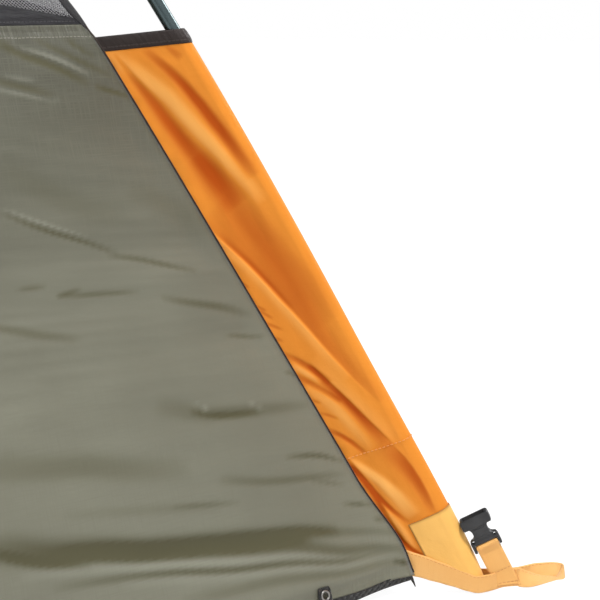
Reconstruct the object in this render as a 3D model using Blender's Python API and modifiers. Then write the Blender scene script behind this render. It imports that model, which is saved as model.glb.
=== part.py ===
"""Two-pole dome tent, pitched without a flysheet, in metres with +Z up.

The origin is on the ground under the middle of the tent. X runs along the long side of the floor, Y along
the short side, and the wall with the door faces -Y. Two bent poles cross over the tent in its diagonal
planes. Each foot of a pole stands in a cloth sleeve at a corner, and clips hang the canopy from the poles
above the sleeves. Every horizontal cut through the body is a rectangle, so each side is one panel that
curves only from bottom to top.
"""

import math

import bmesh
import bpy
import numpy as np
from mathutils import Matrix, Vector

# Floor, walls and canopy
FLOOR_LENGTH = 2.40
FLOOR_DEPTH = 2.10
FLOOR_THICKNESS = 0.003
FLOOR_RIM_THICKNESS = 0.0025
HEM_HEIGHT = 0.0143
WALL_TOP = 0.458
BAND_CORNER_HEIGHT = 0.0045
BAND_ARCH_HEIGHT = 0.115
CROWN_PATCH_REACH = 0.13
CLOTH = 0.0015
SEAM_CLEARANCE = 0.0004
WALL_CELLS = (20, 8)
BAND_CELLS = 16
CANOPY_CELLS = (16, 10)
CROWN_PATCH_CELLS = 4
TANGENT_STEP = 0.002

# Main folds of a wall: height, number from hem to top seam, and how they slant; then the shares of the half
# width over which they fade in from the corner, and grow from the middle outwards with and without a door
WALL_FOLD_HEIGHT = 0.0045
WALL_FOLDS = 3.0
WALL_FOLD_SLANT = 2.4
WALL_FOLD_START = 0.6
WALL_FOLD_FADE = 0.16
WALL_FOLD_GROWS = (0.1, 0.5)
WALL_FOLD_GROWS_BY_DOOR = (0.5, 0.75)

# Poles and the gap between a pole and the corner seam of the body
POLE_RADIUS = 0.0055
POLE_FOOT_REACH = 0.0555
POLE_CROWN = 1.412
POLE_CROSSING_CLEARANCE = 0.0008
POLE_END_HEIGHT = 0.0125
POLE_SEGMENTS = 44
ARCH_STEP = 0.013
ARCH_END_ANGLES = (math.radians(15), math.radians(115))
ARCH_HALVINGS = 40
TIP_TOP_RADIUS = 0.0052
TIP_END_RADIUS = 0.0036
TIP_GROUND_CLEARANCE = 0.0004
SEAM_GAP_FOOT = 0.0425
SEAM_GAP_SLEEVE = 0.0570
SEAM_GAP_CROWN = 0.0380

# Corner sleeve, its bound mouth and its foot patch: heights at the seam and at the pole
SLEEVE_LOOSENESS = 0.0009
SLEEVE_CLOTH = 0.0012
SLEEVE_SEAM_HALF = 0.0021
SLEEVE_BOTTOM = (0.0165, 0.0045)
SLEEVE_TOP = (0.4376, 0.4444)
SLEEVE_FOLD_HEIGHT = 0.0016
SLEEVE_FOLDS = 2.2
SLEEVE_FOLD_SLANT = 3.0
SLEEVE_ARC_SHARE = 0.5
SLEEVE_CELLS = (12, 9)
MOUTH_BOTTOM = (0.4380, 0.4448)
MOUTH_TOP = (0.4479, 0.4546)
MOUTH_PROUD = 0.0006
PATCH_BOTTOM = (0.0400, 0.0195)
PATCH_TOP = (0.0490, 0.0760)
PATCH_COVER = 0.64
PATCH_ARC_SHARE = 0.6
PATCH_CELLS = (10, 2)
LAYER_GAP = 0.0003

# Webbing round the foot: heights of its two edges at the seam, the pole and the outer end
WEBBING = 0.0013
WEBBING_GAP = 0.0007
WEBBING_SEAM = (0.0155, 0.0368)
WEBBING_FOOT = (0.0009, 0.0158)
WEBBING_END = (0.0052, 0.0205)
STEM_HALF = 0.0016
STEM_START = 0.0175
STEM_END = 0.0290
FLARE = ((0.0130, 0.0046), (0.0080, 0.0073))

# Peg loop at the end of the webbing
LOOP_LENGTH = 0.0385
LOOP_HALF = 0.0068
LOOP_TIP_HEIGHTS = (0.0105, 0.0256)
LOOP_PARTING = ((0.010, 0.8), (0.018, 1.0))
LOOP_TURN_CELLS = 3
HINGE_ROOM = 0.0018
HINGE_LAP = 0.0009
LOOP_ROOT_SLIT = 0.0003

# Buckle strap and female buckle
STRAP_WIDTH = 0.0190
STRAP_CLOTH = 0.0011
STRAP_SLIT = 0.0002
STRAP_REACH = 0.0160
STRAP_HINGE_HEIGHT = 0.0205
STRAP_LENGTH = 0.0212
BUCKLE_WIDTH = 0.0250
BUCKLE_LENGTH = 0.0310
BUCKLE_THICKNESS = 0.0104
BUCKLE_EDGE = 0.0016
BAR_HALF = 0.0013
BAR_OFFSET = 0.0032
BAR_SLOT_HEIGHT = 0.0056
EAR_WIDTH = 0.0024
MOUTH_SLOT = (0.0188, 0.0076, 0.0190)
WINDOW_HEIGHT = 0.0085
WINDOW_ABOVE_BAR = 0.0110
WINDOW_SHARE = 0.8
CUT_OVER = 0.002

# Canopy clips and the crown
CLIP_HEIGHTS = (0.74, 1.13)
CLIP_WIDTH = 0.014
CLIP_WALL = 0.0024
CLIP_STEM_HALF = 0.0018
CLIP_CLEARANCE = 0.0004
HOOK_CLEARANCE = 0.0006
HOOK_OPEN_HALF = math.radians(58)
HOOK_CELLS = 8
CROWN_POST_RADIUS = 0.0065
CROWN_FLANGE_RADIUS = 0.020
CROWN_FLANGE_THICKNESS = 0.002

# Door in the front wall: an arch with a straight sill, zipped along the arch
DOOR_HALF_WIDTH = 0.42
DOOR_SILL = 0.16
DOOR_TOP = 1.10
DOOR_ROUNDNESS = 0.72
DOOR_GAP = 0.0006
DOOR_MARGIN = 0.03
DOOR_ARCH_CELLS = 24
DOOR_CELLS = (10, 14)
ZIP_TAPE_WIDTH = 0.016

CORNERS = {
    "front_right": (1, -1),
    "front_left": (-1, -1),
    "rear_right": (1, 1),
    "rear_left": (-1, 1),
}
SIDES = {
    "front": ("depth", -1),
    "rear": ("depth", 1),
    "right": ("length", 1),
    "left": ("length", -1),
}

# Shares of a step along a diagonal that fall along X and along Y
FLOOR_REACH = math.hypot(FLOOR_LENGTH, FLOOR_DEPTH) / 2
ALONG = FLOOR_LENGTH / 2 / FLOOR_REACH
ACROSS = FLOOR_DEPTH / 2 / FLOOR_REACH
HALF_SPAN = FLOOR_REACH + POLE_FOOT_REACH


def clear_scene():
    for item in list(bpy.data.objects):
        bpy.data.objects.remove(item, do_unlink=True)


def new_collection(name):
    group = bpy.data.collections.new(name)
    bpy.context.scene.collection.children.link(group)
    return group


def principled(name, colour, roughness, metallic=0.0):
    material = bpy.data.materials.new(name)
    material.use_nodes = True
    shader = material.node_tree.nodes["Principled BSDF"]
    shader.inputs["Base Color"].default_value = (*colour, 1.0)
    shader.inputs["Roughness"].default_value = roughness
    shader.inputs["Metallic"].default_value = metallic
    return material


def add_object(name, body, material, group):
    mesh = bpy.data.meshes.new(name)
    body.to_mesh(mesh)
    body.free()
    mesh.materials.append(material)
    item = bpy.data.objects.new(name, mesh)
    group.objects.link(item)
    return item


def face_outwards(body):
    bmesh.ops.recalc_face_normals(body, faces=body.faces[:])
    if body.calc_volume(signed=True) < 0:
        bmesh.ops.reverse_faces(body, faces=body.faces[:])


def sheet(name, place, cells_u, cells_v, material, group):
    """Cloth or webbing: a grid whose two faces are place(u, v, 0) and place(u, v, 1), u and v from -1 to 1."""
    body = bmesh.new()
    bmesh.ops.create_grid(body, x_segments=cells_u, y_segments=cells_v, size=1.0)
    grown = bmesh.ops.extrude_face_region(body, geom=body.faces[:])["geom"]
    inner = {part for part in grown if isinstance(part, bmesh.types.BMVert)}
    for vertex in body.verts:
        vertex.co = Vector(place(vertex.co.x, vertex.co.y, int(vertex in inner)))
    face_outwards(body)
    return add_object(name, body, material, group)


def prism(name, outline, low, high, material, group):
    """An outline in X and Z, made solid from Y = low to Y = high."""
    body = bmesh.new()
    ring = [body.verts.new((x, low, z)) for x, z in outline]
    face = body.faces.new(ring)
    grown = bmesh.ops.extrude_face_region(body, geom=[face])["geom"]
    for part in grown:
        if isinstance(part, bmesh.types.BMVert):
            part.co.y = high
    face_outwards(body)
    return add_object(name, body, material, group)


def as_cutter(item):
    item.hide_render = True
    item.display_type = "WIRE"
    return item


def boolean(item, cutter, operation="DIFFERENCE"):
    modifier = item.modifiers.new(cutter.name, "BOOLEAN")
    modifier.operation = operation
    modifier.solver = "EXACT"
    modifier.object = cutter


# Poles: a straight rod that is bent only by its two ends stands in this curve


def unit_arch(end_angle):
    """Half of a bent rod from its crown down to its foot: rows of distance out, height and slope."""
    step = ARCH_STEP
    rows = [np.array([0.0, math.sqrt(2 * (1 - math.cos(end_angle))), 0.0])]

    def change(now):
        return np.array([math.cos(now[2]), -math.sin(now[2]), now[1]])

    while rows[-1][1] > 0:
        now = rows[-1]
        first = change(now)
        second = change(now + first * step / 2)
        third = change(now + second * step / 2)
        fourth = change(now + third * step)
        rows.append(now + (first + 2 * second + 2 * third + fourth) * step / 6)
    before, after = rows[-2], rows[-1]
    rows[-1] = before + (after - before) * before[1] / (before[1] - after[1])
    return np.array(rows)


def bent_pole(half_span, crown):
    """The arch with this half span and crown height, as rows from foot to crown."""
    low, high = ARCH_END_ANGLES
    for _ in range(ARCH_HALVINGS):
        middle = (low + high) / 2
        rows = unit_arch(middle)
        if rows[0][1] / rows[-1][0] < crown / half_span:
            low = middle
        else:
            high = middle
    rows = unit_arch((low + high) / 2)
    rows[:, :2] *= half_span / rows[-1][0]
    return rows[::-1]


def pole_stations(curve):
    """The bent pole as straight runs: its point on the ground, then its end and the points up to its crown."""
    lengths = np.concatenate(([0.0], np.cumsum(np.hypot(*np.diff(curve[:, :2], axis=0).T))))
    start = np.interp(POLE_END_HEIGHT, curve[:, 1], lengths)
    marks = np.concatenate(([0.0], np.linspace(start, lengths[-1], POLE_SEGMENTS // 2 + 1)))
    return np.array([np.interp(marks, lengths, curve[:, column]) for column in range(3)]).T


LOW_ARCH = bent_pole(HALF_SPAN, POLE_CROWN)
POLES = {
    "under": pole_stations(LOW_ARCH),
    "over": pole_stations(bent_pole(HALF_SPAN, POLE_CROWN + 2 * POLE_RADIUS + POLE_CROSSING_CLEARANCE)),
}


def pole_of(corner):
    return POLES["under"] if corner[0] * corner[1] < 0 else POLES["over"]


def pole_at(pole, height):
    """Distance out and slope of a pole at a height."""
    return (float(np.interp(height, pole[:, 1], pole[:, 0])),
            float(np.interp(height, pole[:, 1], pole[:, 2])))


def seam_gap(height):
    if height < SLEEVE_TOP[1]:
        share = math.sin(math.pi / 2 * height / SLEEVE_TOP[1])
        return SEAM_GAP_FOOT + (SEAM_GAP_SLEEVE - SEAM_GAP_FOOT) * share
    share = (1 - math.cos(math.pi * (height - SLEEVE_TOP[1]) / (POLE_CROWN - SLEEVE_TOP[1]))) / 2
    return SEAM_GAP_SLEEVE + (SEAM_GAP_CROWN - SEAM_GAP_SLEEVE) * share


def body_seam():
    """Corner seam of the body under the lower pole: rows of distance out and height, from ground to crown."""
    rows = []
    for out, height, slope in LOW_ARCH:
        gap = seam_gap(height)
        rows.append((out - gap * math.sin(slope), height - gap * math.cos(slope)))
    return np.array(rows)


SEAM = body_seam()
SEAM_LENGTH = np.concatenate(([0.0], np.cumsum(np.hypot(*np.diff(SEAM, axis=0).T))))


def seam_at_height(height):
    return float(np.interp(height, SEAM[:, 1], SEAM[:, 0]))


def length_at_height(height):
    return float(np.interp(height, SEAM[:, 1], SEAM_LENGTH))


def length_at_reach(reach):
    return float(np.interp(-reach, -SEAM[:, 0], SEAM_LENGTH))


def seam_at_length(length):
    return (float(np.interp(length, SEAM_LENGTH, SEAM[:, 0])),
            float(np.interp(length, SEAM_LENGTH, SEAM[:, 1])))


def corner_point(corner, out, height, aside):
    """A point given by its distance out along a corner's diagonal, its height and its distance aside."""
    return (corner[0] * (ALONG * out - ACROSS * aside),
            corner[1] * (ACROSS * out + ALONG * aside),
            height)


# Body of the tent


def panel_point(side, u, length, depth, lift=0.0):
    """A point of a side panel: u runs from corner to corner, length up the seam, depth into the cloth."""
    facing, sign = SIDES[side]
    near, far = (ACROSS, ALONG) if facing == "depth" else (ALONG, ACROSS)
    out, height = seam_at_length(length)
    out_a, height_a = seam_at_length(max(length - TANGENT_STEP, 0.0))
    out_b, height_b = seam_at_length(min(length + TANGENT_STEP, SEAM_LENGTH[-1]))
    rise, run = height_b - height_a, (out_a - out_b) * near
    size = math.hypot(rise, run)
    inward = depth - lift
    reach = out * near - inward * rise / size
    height -= inward * run / size
    half_width = reach * far / near - SEAM_CLEARANCE
    if facing == "depth":
        return u * half_width, sign * reach, height
    return sign * reach, u * half_width, height


def smooth(value, low, high):
    share = min(max((value - low) / (high - low), 0.0), 1.0)
    return share * share * (3 - 2 * share)


def wall_fold(side, u, v):
    """Main folds of a wall: they rise towards the corner and die out at its edges and near the door."""
    along = abs(u)
    edge = math.sin(math.pi * (v + 1) / 2) * smooth(1 - along, 0.0, WALL_FOLD_FADE)
    growth = smooth(along, *(WALL_FOLD_GROWS_BY_DOOR if side == "front" else WALL_FOLD_GROWS))
    wave = math.sin(math.pi * WALL_FOLDS * (v + 1) / 2 - WALL_FOLD_SLANT * along + WALL_FOLD_START)
    return WALL_FOLD_HEIGHT * edge * growth * wave


def make_wall(side, material, group):
    low = length_at_height(HEM_HEIGHT)
    high = length_at_height(WALL_TOP)

    def place(u, v, inner):
        length = low + (high - low) * (v + 1) / 2
        return panel_point(side, u, length, inner * CLOTH, wall_fold(side, u, v))

    return sheet(f"{side}_wall", place, *WALL_CELLS, material, group)


def band_top(u):
    """Length up the seam of the charcoal band's upper edge, which arches between the corners."""
    return length_at_height(WALL_TOP + BAND_CORNER_HEIGHT) + BAND_ARCH_HEIGHT * (1 - u * u)


def make_band(name, side, low_u, high_u, material, group):
    low = length_at_height(WALL_TOP) + SEAM_CLEARANCE

    def place(u, v, inner):
        across = low_u + (high_u - low_u) * (u + 1) / 2
        high = band_top(across) - SEAM_CLEARANCE
        return panel_point(side, across, low + (high - low) * (v + 1) / 2, inner * CLOTH)

    return sheet(name, place, round(BAND_CELLS * (high_u - low_u) / 2), 1, material, group)


def make_canopy(side, material, group):
    high = length_at_reach(CROWN_PATCH_REACH) - SEAM_CLEARANCE

    def place(u, v, inner):
        low = band_top(u)
        return panel_point(side, u, low + (high - low) * (v + 1) / 2, inner * CLOTH)

    return sheet(f"{side}_canopy", place, *CANOPY_CELLS, material, group)


def make_crown_patch(material, group):
    def place(u, v, inner):
        reach = max(abs(u), abs(v)) * CROWN_PATCH_REACH
        height = seam_at_length(length_at_reach(reach))[1]
        return u * CROWN_PATCH_REACH * ALONG, v * CROWN_PATCH_REACH * ACROSS, height - inner * CLOTH

    return sheet("crown_patch", place, CROWN_PATCH_CELLS, CROWN_PATCH_CELLS, material, group)


def make_floor(material, group):
    """Groundsheet: a shallow tray whose rim the walls are sewn to."""
    reach = seam_at_height(HEM_HEIGHT)
    body = bmesh.new()
    rim = HEM_HEIGHT - SEAM_CLEARANCE
    bmesh.ops.create_cube(body, size=1.0)
    for vertex in body.verts:
        vertex.co.x *= 2 * (reach * ALONG - SEAM_CLEARANCE)
        vertex.co.y *= 2 * (reach * ACROSS - SEAM_CLEARANCE)
        vertex.co.z = (vertex.co.z + 0.5) * rim
    body.normal_update()
    top = [face for face in body.faces if face.normal.z > 0.9]
    bmesh.ops.inset_region(body, faces=top, thickness=FLOOR_RIM_THICKNESS)
    bmesh.ops.translate(body, vec=(0, 0, FLOOR_THICKNESS - rim), verts=top[0].verts[:])
    face_outwards(body)
    return add_object("floor", body, material, group)


# Corners: sleeve, mouth, patch, webbing, peg loop, strap and buckle


def wrap(corner, u, heights, radius, seam_half, arc_share, cover=1.0):
    """A point on cloth folded round a pole: u = 0 outside the pole, u = 1 and -1 at the corner seam."""
    pole = pole_of(corner)
    seam_out = seam_at_height(heights[0]) + SEAM_CLEARANCE
    pole_out, slope = pole_at(pole, heights[1])
    run, rise = pole_out - seam_out, heights[1] - heights[0]
    depth = math.hypot(run, rise)
    run, rise = run / depth, rise / depth
    stretch = 1 / abs(run * math.sin(slope) + rise * math.cos(slope))
    if abs(u) <= arc_share:
        turn = u / arc_share * math.pi / 2
        step, aside = radius * stretch * math.cos(turn), radius * math.sin(turn)
    else:
        share = (abs(u) - arc_share) / (1 - arc_share) * cover
        step = -depth * share
        aside = math.copysign(radius + (seam_half - radius) * share, u)
    return pole_out + run * step, heights[1] + rise * step, aside


def between(low, high, share):
    return tuple(a + (b - a) * share for a, b in zip(low, high))


SLEEVE_RADIUS = POLE_RADIUS + SLEEVE_LOOSENESS + SLEEVE_CLOTH


def sleeve_fold(u, v):
    """Soft folds that run along the sleeve between the seam and the pole."""
    side = smooth(abs(u), SLEEVE_ARC_SHARE, 0.75) * smooth(1 - abs(u), 0.0, 0.2)
    along = smooth(v, -0.6, -0.2) * smooth(1 - v, 0.0, 0.3)
    return SLEEVE_FOLD_HEIGHT * side * along * math.cos(SLEEVE_FOLDS * math.pi * v + SLEEVE_FOLD_SLANT * u)


def make_sleeve(name, corner, material, group):
    def place(u, v, inner):
        heights = between(SLEEVE_BOTTOM, SLEEVE_TOP, (v + 1) / 2)
        thin = inner * SLEEVE_CLOTH
        out, height, aside = wrap(corner, u, heights, SLEEVE_RADIUS - thin, SLEEVE_SEAM_HALF - thin,
                                  SLEEVE_ARC_SHARE)
        aside += math.copysign(1.0, u) * sleeve_fold(u, v)
        return corner_point(corner, out, height, aside)

    return sheet(f"corner_sleeve_{name}", place, *SLEEVE_CELLS, material, group)


def make_mouth(name, corner, material, group):
    """Binding sewn over the raw edge at the sleeve's mouth."""
    def place(u, v, inner):
        heights = between(MOUTH_BOTTOM, MOUTH_TOP, (v + 1) / 2)
        thin = inner * (SLEEVE_CLOTH + MOUTH_PROUD) - MOUTH_PROUD
        return corner_point(corner, *wrap(corner, u, heights, SLEEVE_RADIUS - thin, SLEEVE_SEAM_HALF - thin,
                                          SLEEVE_ARC_SHARE))

    return sheet(f"sleeve_mouth_{name}", place, SLEEVE_CELLS[0], 1, material, group)


def make_patch(name, corner, material, group):
    """Second layer of cloth over the sleeve at the foot of the pole."""
    def place(u, v, inner):
        heights = between(PATCH_BOTTOM, PATCH_TOP, (v + 1) / 2)
        layer = LAYER_GAP + (1 - inner) * SLEEVE_CLOTH
        return corner_point(corner, *wrap(corner, u, heights, SLEEVE_RADIUS + layer, SLEEVE_SEAM_HALF + layer,
                                          PATCH_ARC_SHARE, PATCH_COVER))

    return sheet(f"foot_patch_{name}", place, *PATCH_CELLS, material, group)


def make_webbing(name, corner, material, group):
    """Webbing that wraps the foot of the sleeve and runs out as two strands sewn together."""
    pole = pole_of(corner)
    foot = pole_at(pole, 0.0)[0]
    flank = SLEEVE_RADIUS + WEBBING_GAP + WEBBING
    seam_half = SLEEVE_SEAM_HALF + WEBBING_GAP + WEBBING
    outboard = [(STEM_END, 0.0), (STEM_END, STEM_HALF), (STEM_START, STEM_HALF), *FLARE]
    last = len(outboard) + 2

    def place(u, v, inner):
        index = round(abs(u) * last)
        upper = v > 0
        thin = inner * WEBBING
        if index < len(outboard):
            step, aside = outboard[index]
            share = min(step / STEM_END, 1.0)
            height = WEBBING_FOOT[upper] + (WEBBING_END[upper] - WEBBING_FOOT[upper]) * share
            out = foot + step - (thin if index < 2 else 0.0)
            aside = max(aside - thin, 0.0) if index else 0.0
        else:
            share = (index - len(outboard)) / 2
            height = WEBBING_FOOT[upper] + (WEBBING_SEAM[upper] - WEBBING_FOOT[upper]) * share
            flank_out = pole_at(pole, WEBBING_FOOT[upper])[0]
            out = flank_out + (seam_at_height(height) + SEAM_CLEARANCE - flank_out) * share
            aside = flank + (seam_half - flank) * share - thin
        return corner_point(corner, out, height, math.copysign(aside, u))

    return sheet(f"foot_webbing_{name}", place, 2 * last, 1, material, group)


def loop_hinge(corner):
    """Place of the upright line that the peg loop swings about."""
    return pole_at(pole_of(corner), 0.0)[0] + STEM_END + HINGE_ROOM


def make_peg_loop(name, corner, material, group):
    """Free end of the webbing: two strands that part and meet again round the tip."""
    hinge = loop_hinge(corner)
    centre = LOOP_LENGTH - LOOP_HALF
    path = [(-HINGE_LAP, WEBBING + LOOP_ROOT_SLIT / 2)]
    path += [(step, LOOP_HALF * share) for step, share in LOOP_PARTING]
    path.append((centre, LOOP_HALF))
    for index in range(1, LOOP_TURN_CELLS + 1):
        angle = math.pi / 2 * (1 - index / LOOP_TURN_CELLS)
        path.append((centre + LOOP_HALF * math.cos(angle), LOOP_HALF * math.sin(angle)))
    path.reverse()

    def place(u, v, inner):
        index = round(abs(u) * (len(path) - 1))
        step, aside = path[index]
        share = max(step / LOOP_LENGTH, 0.0)
        upper = v > 0
        height = WEBBING_END[upper] + (LOOP_TIP_HEIGHTS[upper] - WEBBING_END[upper]) * share
        if inner:
            narrow = (LOOP_HALF - WEBBING) / LOOP_HALF
            if index <= LOOP_TURN_CELLS:
                step, aside = centre + (step - centre) * narrow, aside * narrow
            else:
                aside -= WEBBING
        return corner_point(corner, hinge + step, height, math.copysign(aside, u) if index else 0.0)

    return sheet(f"peg_loop_{name}", place, 2 * (len(path) - 1), 1, material, group)


def strap_lean():
    """The strap stands along the pole, so it leans in from upright as the pole does."""
    return math.pi / 2 - float(np.interp(STRAP_HINGE_HEIGHT, LOW_ARCH[:, 1], LOW_ARCH[:, 2]))


def strap_frame(corner):
    """Frame of the buckle strap: origin on its hinge line, X across the strap, Y through it, Z along it."""
    out = pole_at(pole_of(corner), 0.0)[0] + STRAP_REACH
    aside = STEM_HALF + HINGE_ROOM + STRAP_SLIT
    origin = Vector(corner_point(corner, out, STRAP_HINGE_HEIGHT, aside))
    lean, rise = math.sin(strap_lean()), math.cos(strap_lean())
    across = Vector(corner_point(corner, rise, lean, 0.0))
    through = Vector(corner_point(corner, 0.0, 0.0, 1.0))
    along = Vector(corner_point(corner, -lean, rise, 0.0))
    return Matrix((across, through, along)).transposed().to_4x4(), origin


def make_strap(name, corner, material, group):
    """Strap folded round the buckle's bar: both layers run down to the webbing."""
    turn, origin = strap_frame(corner)
    bend = math.sqrt(2) * BAR_HALF + LAYER_GAP + STRAP_CLOTH
    lap = STRAP_SLIT / 2 + STRAP_CLOTH
    path = [(0.0, STRAP_LENGTH + bend), (0.7 * bend, STRAP_LENGTH + 0.7 * bend), (bend, STRAP_LENGTH),
            (0.8 * bend, STRAP_LENGTH - 0.7 * bend), (lap, STRAP_LENGTH - 2 * bend), (lap, -HINGE_LAP)]
    narrow = (bend - STRAP_CLOTH) / bend

    def place(u, v, inner):
        index = round(abs(v) * (len(path) - 1))
        aside, along = path[index]
        if inner and index < 3:
            aside, along = aside * narrow, STRAP_LENGTH + (along - STRAP_LENGTH) * narrow
        elif inner:
            aside -= STRAP_CLOTH
        if index == len(path) - 1:
            along -= u * STRAP_WIDTH / 2 * math.tan(strap_lean())
        local = Vector((u * STRAP_WIDTH / 2, math.copysign(aside, v), along))
        return origin + turn.to_3x3() @ local

    return sheet(f"buckle_strap_{name}", place, 1, 2 * (len(path) - 1), material, group)


def box(name, size, centre, material, group):
    body = bmesh.new()
    bmesh.ops.create_cube(body, size=1.0)
    bmesh.ops.scale(body, vec=size, verts=body.verts[:])
    bmesh.ops.translate(body, vec=centre, verts=body.verts[:])
    return add_object(name, body, material, group)


def make_buckle_cutters(material, group):
    """Hollows of the female buckle, in its own frame with the bar's axis at the origin."""
    top = BUCKLE_LENGTH - BAR_OFFSET
    mouth = box("mouth_cutter", (MOUTH_SLOT[0], MOUTH_SLOT[1], MOUTH_SLOT[2] + CUT_OVER),
                (0, 0, top - MOUTH_SLOT[2] / 2 + CUT_OVER / 2), material, group)
    windows = box("window_cutter", (BUCKLE_WIDTH + 2 * CUT_OVER, MOUTH_SLOT[1] * WINDOW_SHARE, WINDOW_HEIGHT),
                  (0, 0, WINDOW_ABOVE_BAR + WINDOW_HEIGHT / 2), material, group)
    slot_width = BUCKLE_WIDTH - 2 * EAR_WIDTH
    through = BUCKLE_THICKNESS + 2 * CUT_OVER
    upper = box("bar_slot_cutter", (slot_width, through, BAR_SLOT_HEIGHT - BAR_HALF),
                (0, 0, (BAR_SLOT_HEIGHT + BAR_HALF) / 2), material, group)
    lower_height = BAR_OFFSET - BAR_HALF + CUT_OVER
    lower = box("bar_end_cutter", (slot_width, through, lower_height),
                (0, 0, -BAR_HALF - lower_height / 2), material, group)
    cheek = BUCKLE_THICKNESS / 2 - BAR_HALF + CUT_OVER
    cutters = [mouth, windows, upper, lower]
    for sign in (-1, 1):
        cutters.append(box(f"bar_cheek_cutter_{'front' if sign > 0 else 'back'}",
                           (slot_width, cheek, BAR_SLOT_HEIGHT + BAR_OFFSET + CUT_OVER),
                           (0, sign * (BAR_HALF + cheek / 2), (BAR_SLOT_HEIGHT - BAR_OFFSET - CUT_OVER) / 2),
                           material, group))
    return [as_cutter(item) for item in cutters]


def buckle_mesh(material, group, cutters):
    """One female side-release buckle, made once at the origin and shared by the four corners."""
    block = box("buckle_blank", (BUCKLE_WIDTH, BUCKLE_THICKNESS, BUCKLE_LENGTH),
                (0, 0, BUCKLE_LENGTH / 2 - BAR_OFFSET), material, group)
    bevel = block.modifiers.new("edges", "BEVEL")
    bevel.width = BUCKLE_EDGE
    bevel.segments = 1
    for cutter in cutters:
        boolean(block, cutter)
    shape = bpy.data.meshes.new_from_object(block.evaluated_get(bpy.context.evaluated_depsgraph_get()))
    bpy.data.objects.remove(block, do_unlink=True)
    return shape


def make_buckle(name, corner, shape, group):
    turn, origin = strap_frame(corner)
    mesh = shape.copy()
    mesh.name = f"buckle_{name}"
    centre = origin + turn.to_3x3() @ Vector((0, 0, STRAP_LENGTH))
    mesh.transform(Matrix.Translation(centre - origin) @ turn)
    if turn.to_3x3().determinant() < 0:
        mesh.flip_normals()
    item = bpy.data.objects.new(mesh.name, mesh)
    item.location = origin
    group.objects.link(item)
    return item


# Poles, tips, clips and crown


def make_pole(name, corner, material, group):
    """One pole, bent from corner to corner over the tent."""
    half = pole_of(corner)[1:]
    stations = [(out, height) for out, height, _ in half]
    stations += [(-out, height) for out, height in reversed(stations[:-1])]
    curve = bpy.data.curves.new(name, "CURVE")
    curve.dimensions = "3D"
    curve.bevel_depth = POLE_RADIUS
    curve.bevel_resolution = 2
    curve.use_fill_caps = True
    spline = curve.splines.new("POLY")
    spline.points.add(len(stations) - 1)
    for point, (out, height) in zip(spline.points, stations):
        point.co = (*corner_point(corner, out, height, 0.0), 1.0)
    curve.materials.append(material)
    item = bpy.data.objects.new(name, curve)
    group.objects.link(item)
    return item


def make_pole_tip(name, corner, material, group):
    """Tapered plug in the end of the pole, which stands on the ground."""
    out, slope = pole_at(pole_of(corner), POLE_END_HEIGHT)
    down = Vector((math.cos(slope), -math.sin(slope)))
    drop = POLE_END_HEIGHT - TIP_GROUND_CLEARANCE - TIP_END_RADIUS * math.cos(slope)
    length = drop / math.sin(slope) - LAYER_GAP
    middle = Vector((out, POLE_END_HEIGHT)) + down * (LAYER_GAP + length / 2)
    body = bmesh.new()
    bmesh.ops.create_cone(body, cap_ends=True, segments=10, radius1=TIP_END_RADIUS,
                          radius2=TIP_TOP_RADIUS, depth=length)
    axis = Vector(corner_point(corner, -down.x, -down.y, 0.0))
    turn = Vector((0, 0, 1)).rotation_difference(axis).to_matrix()
    bmesh.ops.rotate(body, cent=(0, 0, 0), matrix=turn, verts=body.verts[:])
    bmesh.ops.translate(body, vec=corner_point(corner, middle.x, middle.y, 0.0), verts=body.verts[:])
    return add_object(f"pole_tip_{name}", body, material, group)


def nearest_seam(point):
    """The point of the body's corner seam that lies nearest to a point beside it."""
    starts, ends = SEAM[:-1], SEAM[1:]
    spans = ends - starts
    shares = np.clip(np.sum((point - starts) * spans, axis=1) / np.sum(spans * spans, axis=1), 0, 1)
    feet = starts + spans * shares[:, None]
    return feet[np.argmin(np.hypot(*(feet - point).T))]


def make_clip(name, corner, height, material, group):
    """Hook that snaps on the pole, with a stem down to the corner seam of the canopy."""
    pole = pole_of(corner)
    out, _ = pole_at(pole, height)
    run = int(np.searchsorted(pole[:, 1], height))
    rise = pole[run, :2] - pole[run - 1, :2]
    inward = np.array([-rise[1], rise[0]]) / np.hypot(*rise)
    depth = float(np.hypot(*(nearest_seam(np.array([out, height])) - (out, height)))) - CLIP_CLEARANCE
    inner = POLE_RADIUS + HOOK_CLEARANCE
    outer = inner + CLIP_WALL
    first = math.asin(CLIP_STEM_HALF / outer)
    step = (math.pi - HOOK_OPEN_HALF - first) / HOOK_CELLS
    turns = [first + step * index for index in range(HOOK_CELLS + 1)]
    outline = [(depth, -CLIP_STEM_HALF)]
    outline += [(outer * math.cos(turn), -outer * math.sin(turn)) for turn in turns]
    outline += [(inner * math.cos(turn), -inner * math.sin(turn)) for turn in reversed(turns[1:])]
    outline += [(inner * math.cos(turn), inner * math.sin(turn)) for turn in turns[1:]]
    outline += [(outer * math.cos(turn), outer * math.sin(turn)) for turn in reversed(turns)]
    outline.append((depth, CLIP_STEM_HALF))
    item = prism(name, outline, -CLIP_WIDTH / 2, CLIP_WIDTH / 2, material, group)
    toward = Vector(corner_point(corner, inward[0], inward[1], 0.0))
    aside = Vector(corner_point(corner, 0.0, 0.0, 1.0))
    along = toward.cross(aside)
    turn = Matrix((toward, -along, aside)).transposed().to_4x4()
    origin = Vector(corner_point(corner, out, height, 0.0))
    item.data.transform(turn)
    item.location = origin
    return item


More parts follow.
